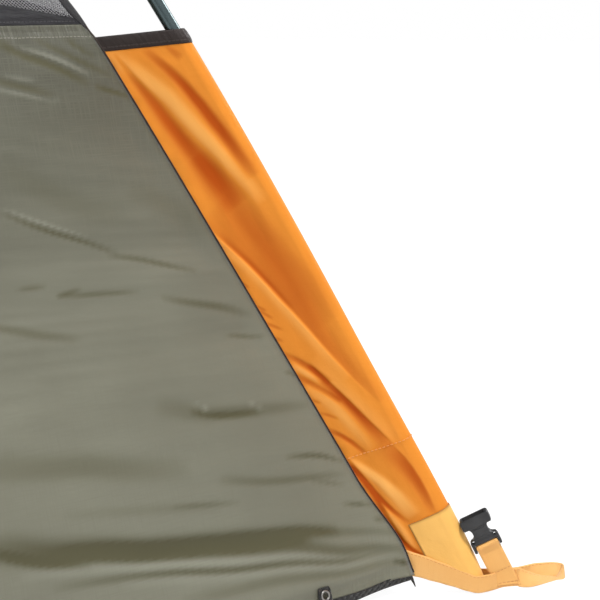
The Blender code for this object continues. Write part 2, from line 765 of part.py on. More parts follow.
def make_crown_clip(material, group):
    """Post and flange that hang the crown patch from the crossing of the poles."""
    seam_top = SEAM[-1][1]
    body = bmesh.new()
    flange_middle = seam_top + LAYER_GAP + CROWN_FLANGE_THICKNESS / 2
    bmesh.ops.create_cone(body, cap_ends=True, segments=16, radius1=CROWN_FLANGE_RADIUS,
                          radius2=CROWN_FLANGE_RADIUS, depth=CROWN_FLANGE_THICKNESS)
    bmesh.ops.translate(body, vec=(0, 0, flange_middle), verts=body.verts[:])
    body.normal_update()
    top = [face for face in body.faces if face.normal.z > 0.9]
    bmesh.ops.inset_region(body, faces=top, thickness=CROWN_FLANGE_RADIUS - CROWN_POST_RADIUS)
    under = POLE_CROWN - POLE_RADIUS - LAYER_GAP
    post = bmesh.ops.extrude_face_region(body, geom=top)["geom"]
    ring = [part for part in post if isinstance(part, bmesh.types.BMVert)]
    bmesh.ops.delete(body, geom=top, context="FACES_ONLY")
    for vertex in ring:
        vertex.co.z = under
    face_outwards(body)
    return add_object("crown_clip", body, material, group)


# Door and its zip


def door_outline(grow):
    """Arch of the door in X and Z, from its right end over the top to its left end."""
    points = []
    for index in range(DOOR_ARCH_CELLS + 1):
        turn = math.pi * index / DOOR_ARCH_CELLS
        across = math.copysign(abs(math.cos(turn)) ** DOOR_ROUNDNESS, math.cos(turn))
        if index == DOOR_ARCH_CELLS // 2:
            across = 0.0
        up = max(math.sin(turn), 0.0) ** DOOR_ROUNDNESS
        points.append(((DOOR_HALF_WIDTH + grow) * across, DOOR_SILL + (DOOR_TOP - DOOR_SILL + grow) * up))
    return points


def front_reach(height):
    """How far the front panel's outer face lies from the middle of the tent at a height."""
    return seam_at_height(height) * ACROSS


def make_door(material, group, cutter):
    low, high = length_at_height(DOOR_SILL - DOOR_MARGIN), length_at_height(DOOR_TOP + DOOR_MARGIN)

    def place(u, v, inner):
        x, y, z = panel_point("front", 0.0, low + (high - low) * (v + 1) / 2, inner * CLOTH)
        return u * (DOOR_HALF_WIDTH + DOOR_MARGIN), y, z

    item = sheet("door_panel", place, *DOOR_CELLS, material, group)
    boolean(item, cutter, "INTERSECT")
    return item


def make_zip_tape(material, group):
    """Tape of the zip on the wall's side, in the slit between the wall and the door."""
    inside = door_outline(DOOR_GAP)
    outside = door_outline(ZIP_TAPE_WIDTH - DOOR_GAP)
    last = len(inside) - 1

    def place(u, v, inner):
        index = round((1 - u) / 2 * last)
        x, z = inside[index] if v < 0 else outside[index]
        z = max(z, DOOR_SILL + DOOR_GAP)
        return x, -front_reach(z) + inner * CLOTH, z

    return sheet("zip_tape", place, last, 1, material, group)


def build():
    clear_scene()
    tent = new_collection("backpacking_tent")
    cutters = new_collection("cutters")

    olive = principled("olive cloth", (0.16, 0.15, 0.105), 0.6)
    charcoal = principled("charcoal cloth", (0.045, 0.04, 0.045), 0.7)
    mesh_cloth = principled("grey mesh", (0.10, 0.10, 0.11), 0.8)
    ground = principled("groundsheet", (0.03, 0.03, 0.032), 0.6)
    orange = principled("orange cloth", (0.80, 0.27, 0.04), 0.55)
    amber = principled("orange webbing", (0.86, 0.38, 0.08), 0.7)
    brown = principled("brown binding", (0.04, 0.03, 0.025), 0.7)
    plastic = principled("black plastic", (0.03, 0.03, 0.032), 0.45)
    alloy = principled("anodised alloy", (0.22, 0.24, 0.22), 0.3, 1.0)

    front = -FLOOR_DEPTH
    wall_hole = as_cutter(prism("doorway_cutter", door_outline(ZIP_TAPE_WIDTH), front, 0.0, plastic, cutters))
    door_shape = [(x, max(z, DOOR_SILL + DOOR_GAP)) for x, z in door_outline(0.0)]
    door_cutter = as_cutter(prism("door_cutter", door_shape, front, 0.0, plastic, cutters))

    make_floor(ground, tent)
    for side in SIDES:
        wall = make_wall(side, olive, tent)
        canopy = make_canopy(side, mesh_cloth, tent)
        if side == "front":
            boolean(wall, wall_hole)
            boolean(canopy, wall_hole)
            continue
        make_band(f"{side}_band", side, -1.0, 1.0, charcoal, tent)
    for name, low_u, high_u in (("front_band_left", -1.0, 0.0), ("front_band_right", 0.0, 1.0)):
        boolean(make_band(name, "front", low_u, high_u, charcoal, tent), wall_hole)
    make_crown_patch(charcoal, tent)
    make_crown_clip(plastic, tent)
    make_door(olive, tent, door_cutter)
    make_zip_tape(brown, tent)

    hollows = make_buckle_cutters(plastic, cutters)
    shape = buckle_mesh(plastic, cutters, hollows)
    for name, corner in CORNERS.items():
        make_sleeve(name, corner, orange, tent)
        make_mouth(name, corner, brown, tent)
        make_patch(name, corner, amber, tent)
        make_webbing(name, corner, amber, tent)
        make_peg_loop(name, corner, amber, tent)
        make_strap(name, corner, amber, tent)
        make_buckle(name, corner, shape, tent)
        make_pole_tip(name, corner, plastic, tent)
        for level, height in zip(("low", "high"), CLIP_HEIGHTS):
            make_clip(f"clip_{level}_{name}", corner, height, plastic, tent)
    make_pole("pole_under", CORNERS["front_right"], alloy, tent)
    make_pole("pole_over", CORNERS["front_left"], alloy, tent)


build()
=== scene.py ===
"""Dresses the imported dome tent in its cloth, webbing, poles and fittings, in metres with +Z up.

The front, with the door, faces -Y. A place at a corner is given by its distance out along the floor's
diagonal, its height, and its distance aside of the diagonal.
"""
import math

import bmesh
import bpy
import numpy as np
from mathutils import Matrix, Vector


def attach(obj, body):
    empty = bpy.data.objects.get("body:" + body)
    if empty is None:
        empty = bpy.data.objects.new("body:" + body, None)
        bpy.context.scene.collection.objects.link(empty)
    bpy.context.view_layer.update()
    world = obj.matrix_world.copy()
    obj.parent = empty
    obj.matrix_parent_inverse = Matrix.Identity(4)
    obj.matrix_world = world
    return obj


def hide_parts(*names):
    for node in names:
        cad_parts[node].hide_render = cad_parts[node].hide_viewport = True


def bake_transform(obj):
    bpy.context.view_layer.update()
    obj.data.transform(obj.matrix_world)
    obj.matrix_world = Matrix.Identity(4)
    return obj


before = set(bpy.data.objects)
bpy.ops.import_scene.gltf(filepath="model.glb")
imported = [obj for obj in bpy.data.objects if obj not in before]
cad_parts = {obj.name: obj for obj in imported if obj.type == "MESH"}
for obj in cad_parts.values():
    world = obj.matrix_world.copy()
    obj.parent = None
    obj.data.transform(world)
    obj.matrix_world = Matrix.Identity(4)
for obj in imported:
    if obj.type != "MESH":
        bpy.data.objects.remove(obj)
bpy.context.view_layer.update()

# Studio. The tent stands on a pale floor under a white sky, with a strong lamp high in front of its right
# half and weaker ones around it. The camera looks down a little at the foot of the front right corner.
CAMERA_AT = (0.3161, -1.9896, 0.4882)
CAMERA_TURN = math.radians(-39.168)
CAMERA_DOWN = math.radians(10.808)
CAMERA_LENS = 99.0
NEAREST_SEEN = 0.05
WHITE = (1, 1, 1, 1)
SKY_STRENGTH = 0.28
BRIGHT_SIDE = (0.36, -0.93, 0.0)
PAPER = (0.86, 0.86, 0.86, 1)
PAPER_GLOW = 1.16
GLOW_SHARE = 0.83
PAPER_RADIUS = 14
PAPER_DROP = 0.0004


def set_inputs(tree, node, inputs):
    """Fills a node's inputs with values or with other nodes' sockets."""
    for key, value in inputs.items():
        if isinstance(value, bpy.types.NodeSocket):
            tree.links.new(value, node.inputs[key])
        else:
            node.inputs[key].default_value = value


def wire(tree, kind, inputs=(), **settings):
    """Adds a shader node with its settings and inputs."""
    node = tree.nodes.new("ShaderNode" + kind)
    for key, value in settings.items():
        setattr(node, key, value)
    set_inputs(tree, node, dict(inputs))
    return node


def maths(tree, operation, *values):
    return wire(tree, "Math", dict(enumerate(values)), operation=operation).outputs[0]


def ranged(tree, value, low, high, to_low=0.0, to_high=1.0):
    return wire(tree, "MapRange", {0: value, 1: low, 2: high, 3: to_low, 4: to_high}).outputs[0]


def seen_directly(tree):
    """1 for the camera's own rays and for what metal and glass show of them."""
    rays = wire(tree, "LightPath").outputs
    through = maths(tree, "MAXIMUM", rays["Is Camera Ray"], rays["Is Transmission Ray"])
    return maths(tree, "MAXIMUM", through, rays["Is Glossy Ray"])


def send_mix(tree, share, first, second, output):
    """Sends a mix of two shaders to the output."""
    either = wire(tree, "MixShader", {0: share, 1: first.outputs[0], 2: second.outputs[0]})
    wire(tree, output, {"Surface": either.outputs[0]})


def lamp(name, place, towards, size, power):
    light = bpy.data.lights.new(name, "AREA")
    light.size = size
    light.energy = power
    item = bpy.data.objects.new(name, light)
    item.location = place
    item.rotation_euler = (Vector(towards) - Vector(place)).to_track_quat("-Z", "Y").to_euler()
    bpy.context.scene.collection.objects.link(item)


scene = bpy.context.scene
scene.view_settings.view_transform = "Standard"

camera = bpy.data.objects.new("camera", bpy.data.cameras.new("camera"))
camera.data.lens = CAMERA_LENS
camera.data.clip_start = NEAREST_SEEN
camera.location = CAMERA_AT
camera.rotation_euler = (math.pi / 2 - CAMERA_DOWN, 0, CAMERA_TURN)
scene.collection.objects.link(camera)
scene.camera = camera

scene.world = bpy.data.worlds.new("sky")
scene.world.use_nodes = True
tree = scene.world.node_tree
tree.nodes.clear()
heading = wire(tree, "TexCoord").outputs["Generated"]
towards = wire(tree, "VectorMath", {0: heading, 1: BRIGHT_SIDE}, operation="DOT_PRODUCT").outputs["Value"]
shown = maths(tree, "MAXIMUM", ranged(tree, towards, 0.0, 0.95, 0.05, 1.15),
              wire(tree, "LightPath").outputs["Is Camera Ray"])
light_sky = wire(tree, "Background", {"Color": WHITE, "Strength": SKY_STRENGTH})
seen_sky = wire(tree, "Background", {"Color": WHITE, "Strength": shown})
send_mix(tree, seen_directly(tree), light_sky, seen_sky, "OutputWorld")

lamp("key", (0.5, -2.5, 4.9), (1.1, -1.0, 0.2), 0.9, 240)
lamp("side", (5.0, -0.6, 2.6), (0.6, -0.4, 0.4), 1.6, 90)
lamp("left", (-4.6, -1.6, 2.8), (0.0, 0.0, 0.5), 3.0, 60)
lamp("back", (-1.5, 4.6, 3.6), (0.0, 0.0, 0.5), 3.0, 120)

body = bmesh.new()
bmesh.ops.create_circle(body, cap_ends=True, segments=64, radius=PAPER_RADIUS)
bmesh.ops.translate(body, vec=(0, 0, -PAPER_DROP), verts=body.verts[:])
studio_floor = bpy.data.objects.new("studio_floor", bpy.data.meshes.new("studio_floor"))
body.to_mesh(studio_floor.data)
body.free()
paper = bpy.data.materials.new("studio paper")
paper.use_nodes = True
tree = paper.node_tree
tree.nodes.clear()
matt = wire(tree, "BsdfDiffuse", {"Color": PAPER})
glow = wire(tree, "Emission", {"Color": WHITE, "Strength": PAPER_GLOW})
send_mix(tree, maths(tree, "MULTIPLY", seen_directly(tree), GLOW_SHARE), matt, glow, "OutputMaterial")
studio_floor.data.materials.append(paper)
scene.collection.objects.link(studio_floor)

# Poles. Two rods of anodised alloy tube stand bent from corner to corner and cross over the crown. Each is
# eleven sections, and a section slides over the ferrule of the next, so a fine groove shows at each joint.
FLOOR_HALF_LENGTH = 1.20
FLOOR_HALF_DEPTH = 1.05
POLE_FOOT_REACH = 0.0555
POLE_CROWN = 1.412
POLE_RADIUS = 0.0055
POLE_CROSSING = 0.0118
POLE_END_HEIGHT = 0.0125
POLE_SECTIONS = 11
POLE_STEPS = 260
FERRULE_RADIUS = 0.0047
JOINT_GROOVE = 0.0016
CORNERS = {"front_right": (1, -1), "front_left": (-1, -1), "rear_right": (1, 1), "rear_left": (-1, 1)}

FLOOR_REACH = math.hypot(FLOOR_HALF_LENGTH, FLOOR_HALF_DEPTH)
ALONG, ACROSS = FLOOR_HALF_LENGTH / FLOOR_REACH, FLOOR_HALF_DEPTH / FLOOR_REACH


def tint(red, green, blue):
    """A colour as the eye sees it, 0 to 255, in the shader's linear values."""
    return tuple(((level / 255 + 0.055) / 1.055) ** 2.4 for level in (red, green, blue)) + (1.0,)


def bent_rod(half_span, crown):
    """A rod bent only by its ends, from foot to crown: rows of distance out, height and slope."""
    turn = np.linspace(0, math.pi / 2, 600)
    low, high = 0.1, 0.9
    while high - low > 1e-9:
        bend = (low + high) / 2
        lean = bend * np.sin(turn)
        step = (1 - 2 * lean ** 2) / np.sqrt(1 - lean ** 2)
        out = np.concatenate(([0.0], np.cumsum((step[1:] + step[:-1]) / 2 * np.diff(turn))))
        low, high = (bend, high) if 2 * bend / out[-1] < crown / half_span else (low, bend)
    size = half_span / out[-1]
    return np.stack((out * size, 2 * bend * np.cos(turn) * size, 2 * np.arcsin(lean)), axis=1)[::-1]


def lengths_along(points):
    return np.concatenate(([0.0], np.cumsum(np.linalg.norm(np.diff(points, axis=0), axis=1))))


def at_corner(corner, out, height, aside):
    """Points at a corner, from their distances out, heights and distances aside."""
    out, height, aside = np.broadcast_arrays(out, height, aside)
    return np.stack((corner[0] * (ALONG * out - ACROSS * aside),
                     corner[1] * (ACROSS * out + ALONG * aside), height), axis=-1).astype(float)


def material(name):
    """An empty material with its Principled shader."""
    made = bpy.data.materials.new(name)
    made.use_nodes = True
    made.node_tree.nodes.clear()
    shader = wire(made.node_tree, "BsdfPrincipled")
    wire(made.node_tree, "OutputMaterial", {"Surface": shader.outputs[0]})
    return made, made.node_tree, shader


def noise(tree, vector, scale, stretch=(1, 1, 1), detail=3.0, turn=0.0):
    """Noise about 0.5, stretched along the axes of a vector."""
    placed = wire(tree, "Mapping", {"Vector": vector, "Scale": stretch, "Rotation": (0, 0, turn)})
    return wire(tree, "TexNoise", {"Vector": placed.outputs[0], "Scale": scale, "Detail": detail}).outputs[0]


def blend(tree, share, first, second, mode="MIX"):
    return wire(tree, "Mix", {0: share, 6: first, 7: second}, data_type="RGBA", blend_type=mode).outputs[2]


def bump(tree, height, distance, under=None):
    inputs = {"Height": height, "Distance": distance, "Strength": 1.0}
    if under:
        inputs["Normal"] = under
    return wire(tree, "Bump", inputs).outputs[0]


def place_piece(mesh, name, finish):
    item = bpy.data.objects.new(name, mesh)
    mesh.materials.append(finish)
    bpy.context.scene.collection.objects.link(item)
    return item


def tube(name, points, radii, finish, sides=3):
    """A round rod or thread along points, as a mesh, with a radius at each point."""
    curve = bpy.data.curves.new(name, "CURVE")
    curve.dimensions = "3D"
    curve.bevel_depth = 1.0
    curve.bevel_resolution = sides
    curve.use_fill_caps = True
    curve.splines.new("POLY").points.add(len(points) - 1)
    spline = curve.splines[0]
    spline.points.foreach_set("co", np.column_stack((points, np.ones(len(points)))).ravel())
    spline.points.foreach_set("radius", np.broadcast_to(radii, len(points)).astype(float))
    spline.use_smooth = True
    draft = bpy.data.objects.new(name, curve)
    bpy.context.scene.collection.objects.link(draft)
    mesh = bpy.data.meshes.new_from_object(draft.evaluated_get(bpy.context.evaluated_depsgraph_get()))
    bpy.data.objects.remove(draft)
    bpy.data.curves.remove(curve)
    mesh.name = name
    mesh.materials.clear()
    return place_piece(mesh, name, finish)


def finish_piece(piece, body, slot, *nodes):
    """Hides the CAD nodes a piece stands for and hangs it on the body it moves with. A piece that bends from
    one body to another, given as both bodies and the points between which it bends, is only fixed where it
    stands. The slot is not used."""
    if nodes:
        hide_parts(*nodes)
    if isinstance(body, str):
        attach(piece, body)
    else:
        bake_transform(piece)


alloy, tree, shader = material("anodised alloy")
where = wire(tree, "TexCoord").outputs["Object"]
streaks = noise(tree, where, 900, (1, 1, 0.05))
smears = noise(tree, where, 14)
set_inputs(tree, shader, {
    "Base Color": blend(tree, ranged(tree, smears, 0.35, 0.65), tint(72, 85, 87), tint(90, 103, 105)),
    "Metallic": 0.9, "Roughness": ranged(tree, streaks, 0.3, 0.7, 0.2, 0.3),
    "Normal": bump(tree, streaks, 0.00003)})

LOW_ARCH = bent_rod(FLOOR_REACH + POLE_FOOT_REACH, POLE_CROWN)
HIGH_ARCH = bent_rod(FLOOR_REACH + POLE_FOOT_REACH, POLE_CROWN + POLE_CROSSING)
for name, arch, corner in (("pole_under", LOW_ARCH, "front_right"), ("pole_over", HIGH_ARCH, "front_left")):
    half = arch[arch[:, 1] > POLE_END_HEIGHT][:, :2]
    whole = np.concatenate((half, half[-2::-1] * (-1, 1)))
    marks = lengths_along(whole)
    joints = np.arange(1, POLE_SECTIONS) * marks[-1] / POLE_SECTIONS
    groove = np.array((-1.01, -1.0, 1.0, 1.01)) * JOINT_GROOVE / 2
    even = np.linspace(0, marks[-1], POLE_STEPS)
    stops = np.sort(np.concatenate((even, (joints[:, None] + groove).ravel())))
    near_joint = np.min(np.abs(stops[:, None] - joints), axis=1) <= JOINT_GROOVE / 2 + 1e-9
    line = np.stack([np.interp(stops, marks, whole[:, axis]) for axis in range(2)], axis=1)
    pole = tube(name + "_tube", at_corner(CORNERS[corner], line[:, 0], line[:, 1], 0.0),
                np.where(near_joint, FERRULE_RADIUS, POLE_RADIUS), alloy, 5)
    finish_piece(pole, "root", "pole_alloy", name)

# Groundsheet. A coated, dark woven cloth cut as a shallow tray, whose turned-up rim is sewn to the foot of
# the walls under a woven tape. It lies on the ground with soft wrinkles.
HEM_HEIGHT = 0.0143
SEAM_CLEARANCE = 0.0004
SEAM_GAP_FOOT, SEAM_GAP_SLEEVE, SEAM_GAP_CROWN = 0.0425, 0.0570, 0.0380
SLEEVE_TOP_AT_POLE = 0.4444
SEAM_DRAWN_IN = 0.0050
DRAWN_IN_FROM, DRAWN_IN_TO = (0.458, 0.500), (0.510, 0.620)
GROUND_CLEARANCE = 0.0003
GROUND_CLOTH = 0.0007
HEM_LIFT, FLOOR_LIFT = 0.0042, 0.0060
RIM_FROM, RIM_TO = 0.93, 0.995
RIM_SHARE = 0.006
RIM_UNDER_HEM = 0.002
GROUND_SWELL, GROUND_SWELL_TOP = 0.0007, 0.002
FLOOR_LIFT_REACH, WALL_LIFT_REACH = 0.11, 0.06
STITCH_HALF_WIDTH = 0.0004
STITCH_PITCH = 0.0032
STITCH_SHARE = 0.68
SIDES = ("front", "rear", "left", "right")
LONG_SIDES = SIDES[:2]


def smooth(value, low, high):
    share = np.clip((np.asarray(value) - low) / (high - low), 0.0, 1.0)
    return share * share * (3 - 2 * share)


def seam_gap(height):
    below = SEAM_GAP_FOOT + (SEAM_GAP_SLEEVE - SEAM_GAP_FOOT) * np.sin(
        math.pi / 2 * np.minimum(height / SLEEVE_TOP_AT_POLE, 1.0))
    above = (1 - np.cos(math.pi * (height - SLEEVE_TOP_AT_POLE) / (POLE_CROWN - SLEEVE_TOP_AT_POLE))) / 2
    return np.where(height < SLEEVE_TOP_AT_POLE, below,
                    SEAM_GAP_SLEEVE + (SEAM_GAP_CROWN - SEAM_GAP_SLEEVE) * above)


SEAM = LOW_ARCH[:, :2] - seam_gap(LOW_ARCH[:, 1])[:, None] * np.stack(
    (np.sin(LOW_ARCH[:, 2]), np.cos(LOW_ARCH[:, 2])), axis=1)
SEAM_LENGTH = lengths_along(SEAM)


def seam_out(height):
    return np.interp(height, SEAM[:, 1], SEAM[:, 0])


def length_at(height):
    """Length up the corner seam at a height."""
    return np.interp(height, SEAM[:, 1], SEAM_LENGTH)


def height_at(length):
    return np.interp(length, SEAM_LENGTH, SEAM[:, 1])


def side_half(side, height):
    """Half the width of a side between its corner seams."""
    return seam_out(height) * (ALONG if side in LONG_SIDES else ACROSS)


def panel(side, share, length, inward):
    """Points of a side panel, and how far each lies from the middle of its side. Share is -1 and 1 at the
    corners, length runs up the corner seam, and inward goes from the panel's outer face into the tent."""
    sign = -1 if side in ("front", "left") else 1
    near, far = (ACROSS, ALONG) if side in LONG_SIDES else (ALONG, ACROSS)
    (out_below, low), (out, height), (out_above, high) = (
        [np.interp(length + step, SEAM_LENGTH, column) for column in SEAM.T] for step in (-0.002, 0, 0.002))
    rise, run = high - low, near * (out_below - out_above)
    size = np.hypot(rise, run)
    out = out - SEAM_DRAWN_IN * smooth(height, *DRAWN_IN_FROM) * (1 - smooth(height, *DRAWN_IN_TO))
    reach = out * near - inward * rise / size
    height = height - inward * run / size
    across = share * (reach * far / near - SEAM_CLEARANCE)
    parts = (across, sign * reach, height) if side in LONG_SIDES else (sign * reach, across, height)
    return np.stack(np.broadcast_arrays(*parts), axis=1), across


def ripple(along, across, seed, waves=10):
    """Seeded unevenness of about -1 to 1, with waves about one unit long."""
    turns, phases, sizes = np.random.default_rng(seed).uniform(0, 1, (3, waves))
    total = 0.0
    for turn, phase, size in zip(turns, phases, sizes):
        run = along * math.cos(math.tau * turn) + across * math.sin(math.tau * turn)
        total = total + np.sin(math.tau * (0.6 + 0.8 * size) * run + math.tau * phase)
    return total / math.sqrt(waves)


def verts_in(parts):
    return [part for part in parts if isinstance(part, bmesh.types.BMVert)]


def cloth(name, columns, rows, shape, finish, thickness=0.0006, hole=None):
    """A sheet of cloth with two faces. shape(u, v, inward) gives its points and the coordinates of its weave,
    in metres, and for some cloth a painted tone of shade and highlight, with u and v from -1 to 1. hole(u, v)
    is true for the cells that are cut away."""
    body = bmesh.new()
    bmesh.ops.create_grid(body, x_segments=columns, y_segments=rows, size=1.0)
    if hole:
        cut = [face for face in body.faces if hole(*face.calc_center_median()[:2])]
        bmesh.ops.delete(body, geom=cut, context="FACES")
    grown = bmesh.ops.extrude_face_region(body, geom=body.faces[:])["geom"]
    bmesh.ops.translate(body, vec=(0, 0, 1), verts=verts_in(grown))
    mesh = bpy.data.meshes.new(name)
    body.to_mesh(mesh)
    body.free()
    grid = np.empty(3 * len(mesh.vertices))
    mesh.vertices.foreach_get("co", grid)
    u, v, inner = grid.reshape(-1, 3).T
    points, weave, *painted_tone = shape(u, v, inner * thickness)
    mesh.vertices.foreach_set("co", np.ascontiguousarray(points).ravel())
    corners = np.empty(4 * len(mesh.polygons), dtype=np.int32)
    mesh.loops.foreach_get("vertex_index", corners)
    mesh.uv_layers.new(name="weave").data.foreach_set("uv", np.ascontiguousarray(weave[corners]).ravel())
    # The painted tone goes into the fold attribute: above 0.5 is painted shade, below it painted highlight.
    tone = 0.5 + (painted_tone[0] if painted_tone else np.zeros(len(points))) / 2
    mesh.attributes.new("fold", "FLOAT", "POINT").data.foreach_set("value", np.ascontiguousarray(tone))
    layer = inner[corners].reshape(-1, 4)
    mesh.polygons.foreach_set("use_smooth", layer.min(axis=1) == layer.max(axis=1))
    ring = points[corners].reshape(-1, 4, 3)
    volume = np.einsum("ij,ij->", ring[:, 0], np.cross(ring[:, 1] - ring[:, 3], ring[:, 2] - ring[:, 0]))
    if volume > 0:
        mesh.flip_normals()
    mesh.update()
    return place_piece(mesh, name, finish)


def apart(tree, value, middle):
    return maths(tree, "ABSOLUTE", maths(tree, "SUBTRACT", value, middle))


def fabric(name, colour, shade, pitch=0.0006, relief=0.00006, wrinkle=0.0, wrinkle_size=(22, 70), turn=0.0,
           roughness=(0.5, 0.68), sheen=0.2, rows=(), thread=None, puckers=(), painted_top_shade=None, painted_shade_and_highlight=None,
           contrast=0.10, gloss=0.35):
    """Woven cloth by its weave coordinates: threads a pitch apart, slubs, uneven tone, fine wrinkles, rows of
    stitches at set heights, puckers round some of them, a painted shade that darkens the cloth from one
    height to another, and the colours of painted shade and painted highlight that its fold attribute mixes
    in."""
    made, tree, shader = material(name)
    weave = wire(tree, "UVMap", uv_map="weave").outputs[0]
    along, across, _ = wire(tree, "SeparateXYZ", {0: weave}).outputs
    warp = maths(tree, "SINE", maths(tree, "MULTIPLY", along, math.tau / pitch))
    weft = maths(tree, "SINE", maths(tree, "MULTIPLY", across, math.tau / pitch))
    threads = maths(tree, "MULTIPLY", warp, weft)
    slub_runs = (noise(tree, weave, 1, stretch, 2) for stretch in ((900, 30, 1), (30, 900, 1)))
    slubs = maths(tree, "MAXIMUM", *slub_runs)
    tone = noise(tree, weave, 7, detail=5)
    colour_now = blend(tree, ranged(tree, tone, 0.3, 0.7), shade, colour)
    # Painted shade: from one height to another the cloth is multiplied towards a dark colour, darkest at the
    # top.
    if painted_top_shade:
        low, high, dark = painted_top_shade
        top_shaded = blend(tree, 1.0, colour_now, dark, "MULTIPLY")
        colour_now = blend(tree, ranged(tree, across, low, high), colour_now, top_shaded)
    colour_now = blend(tree, ranged(tree, slubs, 0.42, 0.80, 0.0, 0.50), colour_now, shade)
    colour_now = blend(tree, ranged(tree, threads, -1, 1, 0.0, contrast), colour_now, shade)
    # Painted shade and highlight: the fold attribute mixes in the first colour above 0.5 and the second below
    # it.
    if painted_shade_and_highlight:
        folded = wire(tree, "Attribute", attribute_name="fold").outputs["Fac"]
        colour_now = blend(tree, ranged(tree, folded, 0.5, 1.0), colour_now, painted_shade_and_highlight[0])
        colour_now = blend(tree, ranged(tree, folded, 0.5, 0.0), colour_now, painted_shade_and_highlight[1])
    height = maths(tree, "ADD", maths(tree, "MULTIPLY", threads, 0.35), slubs)
    normal = bump(tree, noise(tree, weave, 1, (*wrinkle_size, 1), 4, turn), wrinkle) if wrinkle else None
    for row, reach, depth in puckers:
        near = ranged(tree, apart(tree, across, row), 0.0, reach, 1.0, 0.0)
        gathers = maths(tree, "MULTIPLY", noise(tree, weave, 1, (260, 36, 1), 2), near)
        normal = bump(tree, gathers, depth, normal)
    if rows:
        along_row = maths(tree, "FRACT", maths(tree, "DIVIDE", along, STITCH_PITCH))
        near = [maths(tree, "LESS_THAN", apart(tree, across, row), STITCH_HALF_WIDTH) for row in rows]
        near = maths(tree, "MAXIMUM", *near) if len(near) > 1 else near[0]
        marks = maths(tree, "MULTIPLY", near, maths(tree, "LESS_THAN", along_row, STITCH_SHARE))
        colour_now = blend(tree, marks, colour_now, thread)
        height = maths(tree, "ADD", height, maths(tree, "MULTIPLY", marks, 4.0))
    set_inputs(tree, shader, {
        "Base Color": colour_now, "Roughness": ranged(tree, tone, 0.3, 0.7, *roughness),
        "Sheen Weight": sheen, "Sheen Roughness": 0.4, "Specular IOR Level": gloss,
        "Normal": bump(tree, height, relief, normal)})
    return made


def finish_cloth(piece, nodes, body, slot):
    """Does for a sheet of cloth what finish_piece does."""
    finish_piece(piece, body, slot, *nodes)


ground_cloth = fabric("groundsheet cloth", tint(46, 46, 48), tint(30, 30, 33), pitch=0.0012, relief=0.0002,
                      wrinkle=0.003, wrinkle_size=(9, 9), roughness=(0.45, 0.6))
hem_tape = fabric("woven hem tape", tint(72, 70, 67), tint(5, 5, 5), pitch=0.0065, relief=0.0010,
                  contrast=1.0)
TRAY_LENGTH, TRAY_DEPTH = (2 * (seam_out(HEM_HEIGHT) * share - SEAM_CLEARANCE) for share in (ALONG, ACROSS))


def corner_lift(distance, reach=FLOOR_LIFT_REACH):
    """How much of its full height a lifted corner stands at a distance along the hem."""
    return 1 - smooth(distance, 0.0, reach)


def tray(u, v, inward):
    """The groundsheet: flat within, rising to its rim in the outermost band of cells."""
    edge = np.maximum(np.abs(u), np.abs(v))
    rim = smooth(edge, RIM_FROM, RIM_TO)
    in_rim = 1 - (1 - edge) / (1 - RIM_FROM) * RIM_SHARE
    share = np.where(edge > RIM_FROM, in_rim, edge / RIM_FROM * (1 - RIM_SHARE)) / np.maximum(edge, 1e-6)
    x, y = u * share * TRAY_LENGTH / 2, v * share * TRAY_DEPTH / 2
    swell = GROUND_SWELL * (1 + ripple(x * 3, y * 3, 5)) * (1 - rim)
    lifted = corner_lift(np.hypot(TRAY_LENGTH / 2 - np.abs(x), TRAY_DEPTH / 2 - np.abs(y)))
    height = GROUND_CLEARANCE + GROUND_CLOTH + np.clip(swell, 0, GROUND_SWELL_TOP) \
        + rim * (HEM_HEIGHT - RIM_UNDER_HEM)
    height = height + lifted * (FLOOR_LIFT + (HEM_LIFT - FLOOR_LIFT) * rim)
    parts = (x - np.sign(u) * inward * rim, y - np.sign(v) * inward * rim, height - inward * (1 - rim))
    return np.stack(parts, axis=1), np.stack((x, y), axis=1)


groundsheet = cloth("floor_cloth", 120, 110, tray, ground_cloth, GROUND_CLOTH)
finish_cloth(groundsheet, ["floor"], "root", "groundsheet")

# Walls. Each is one panel of thin coated nylon, sewn to the groundsheet below, to the charcoal band above and
# into the sleeve seams at the corners. The pull of the pegs draws it into long folds that run to the feet.
WALL_TOP = 0.458
WALL_CLOTH = 0.0006
WALL_FOLDS = 3.0
WALL_FOLD_HEIGHT = 0.0045
WALL_FOLD_SLANT = 2.4
WALL_FOLD_START = 0.6
WALL_FOLD_FADE = 0.16
DOOR_HALF_WIDTH = 0.42
DOOR_SILL = 0.16
DOOR_TOP = 1.10
DOOR_ROUNDNESS = 0.72
ZIP_TAPE_WIDTH = 0.016
SILL_SHARE = -0.4
INNER_SHARE = 0.25
WALL_LOW = float(length_at(HEM_HEIGHT - 0.003))
WALL_SILL = float(length_at(DOOR_SILL))
WALL_HIGH = float(length_at(WALL_TOP))
HEM_FOLD = 0.012
HEM_STITCHES = 0.0108
HEM_STEP = 0.0005
HEM_PUCKER = 0.0006
LIFT_FADE = 0.05
WALL_SWELL, WALL_RIPPLES = 0.0020, 0.00018
EDGE_LAP = (0.0024, 0.0016)
FOOT_LAP = (0.0060, 0.0052)
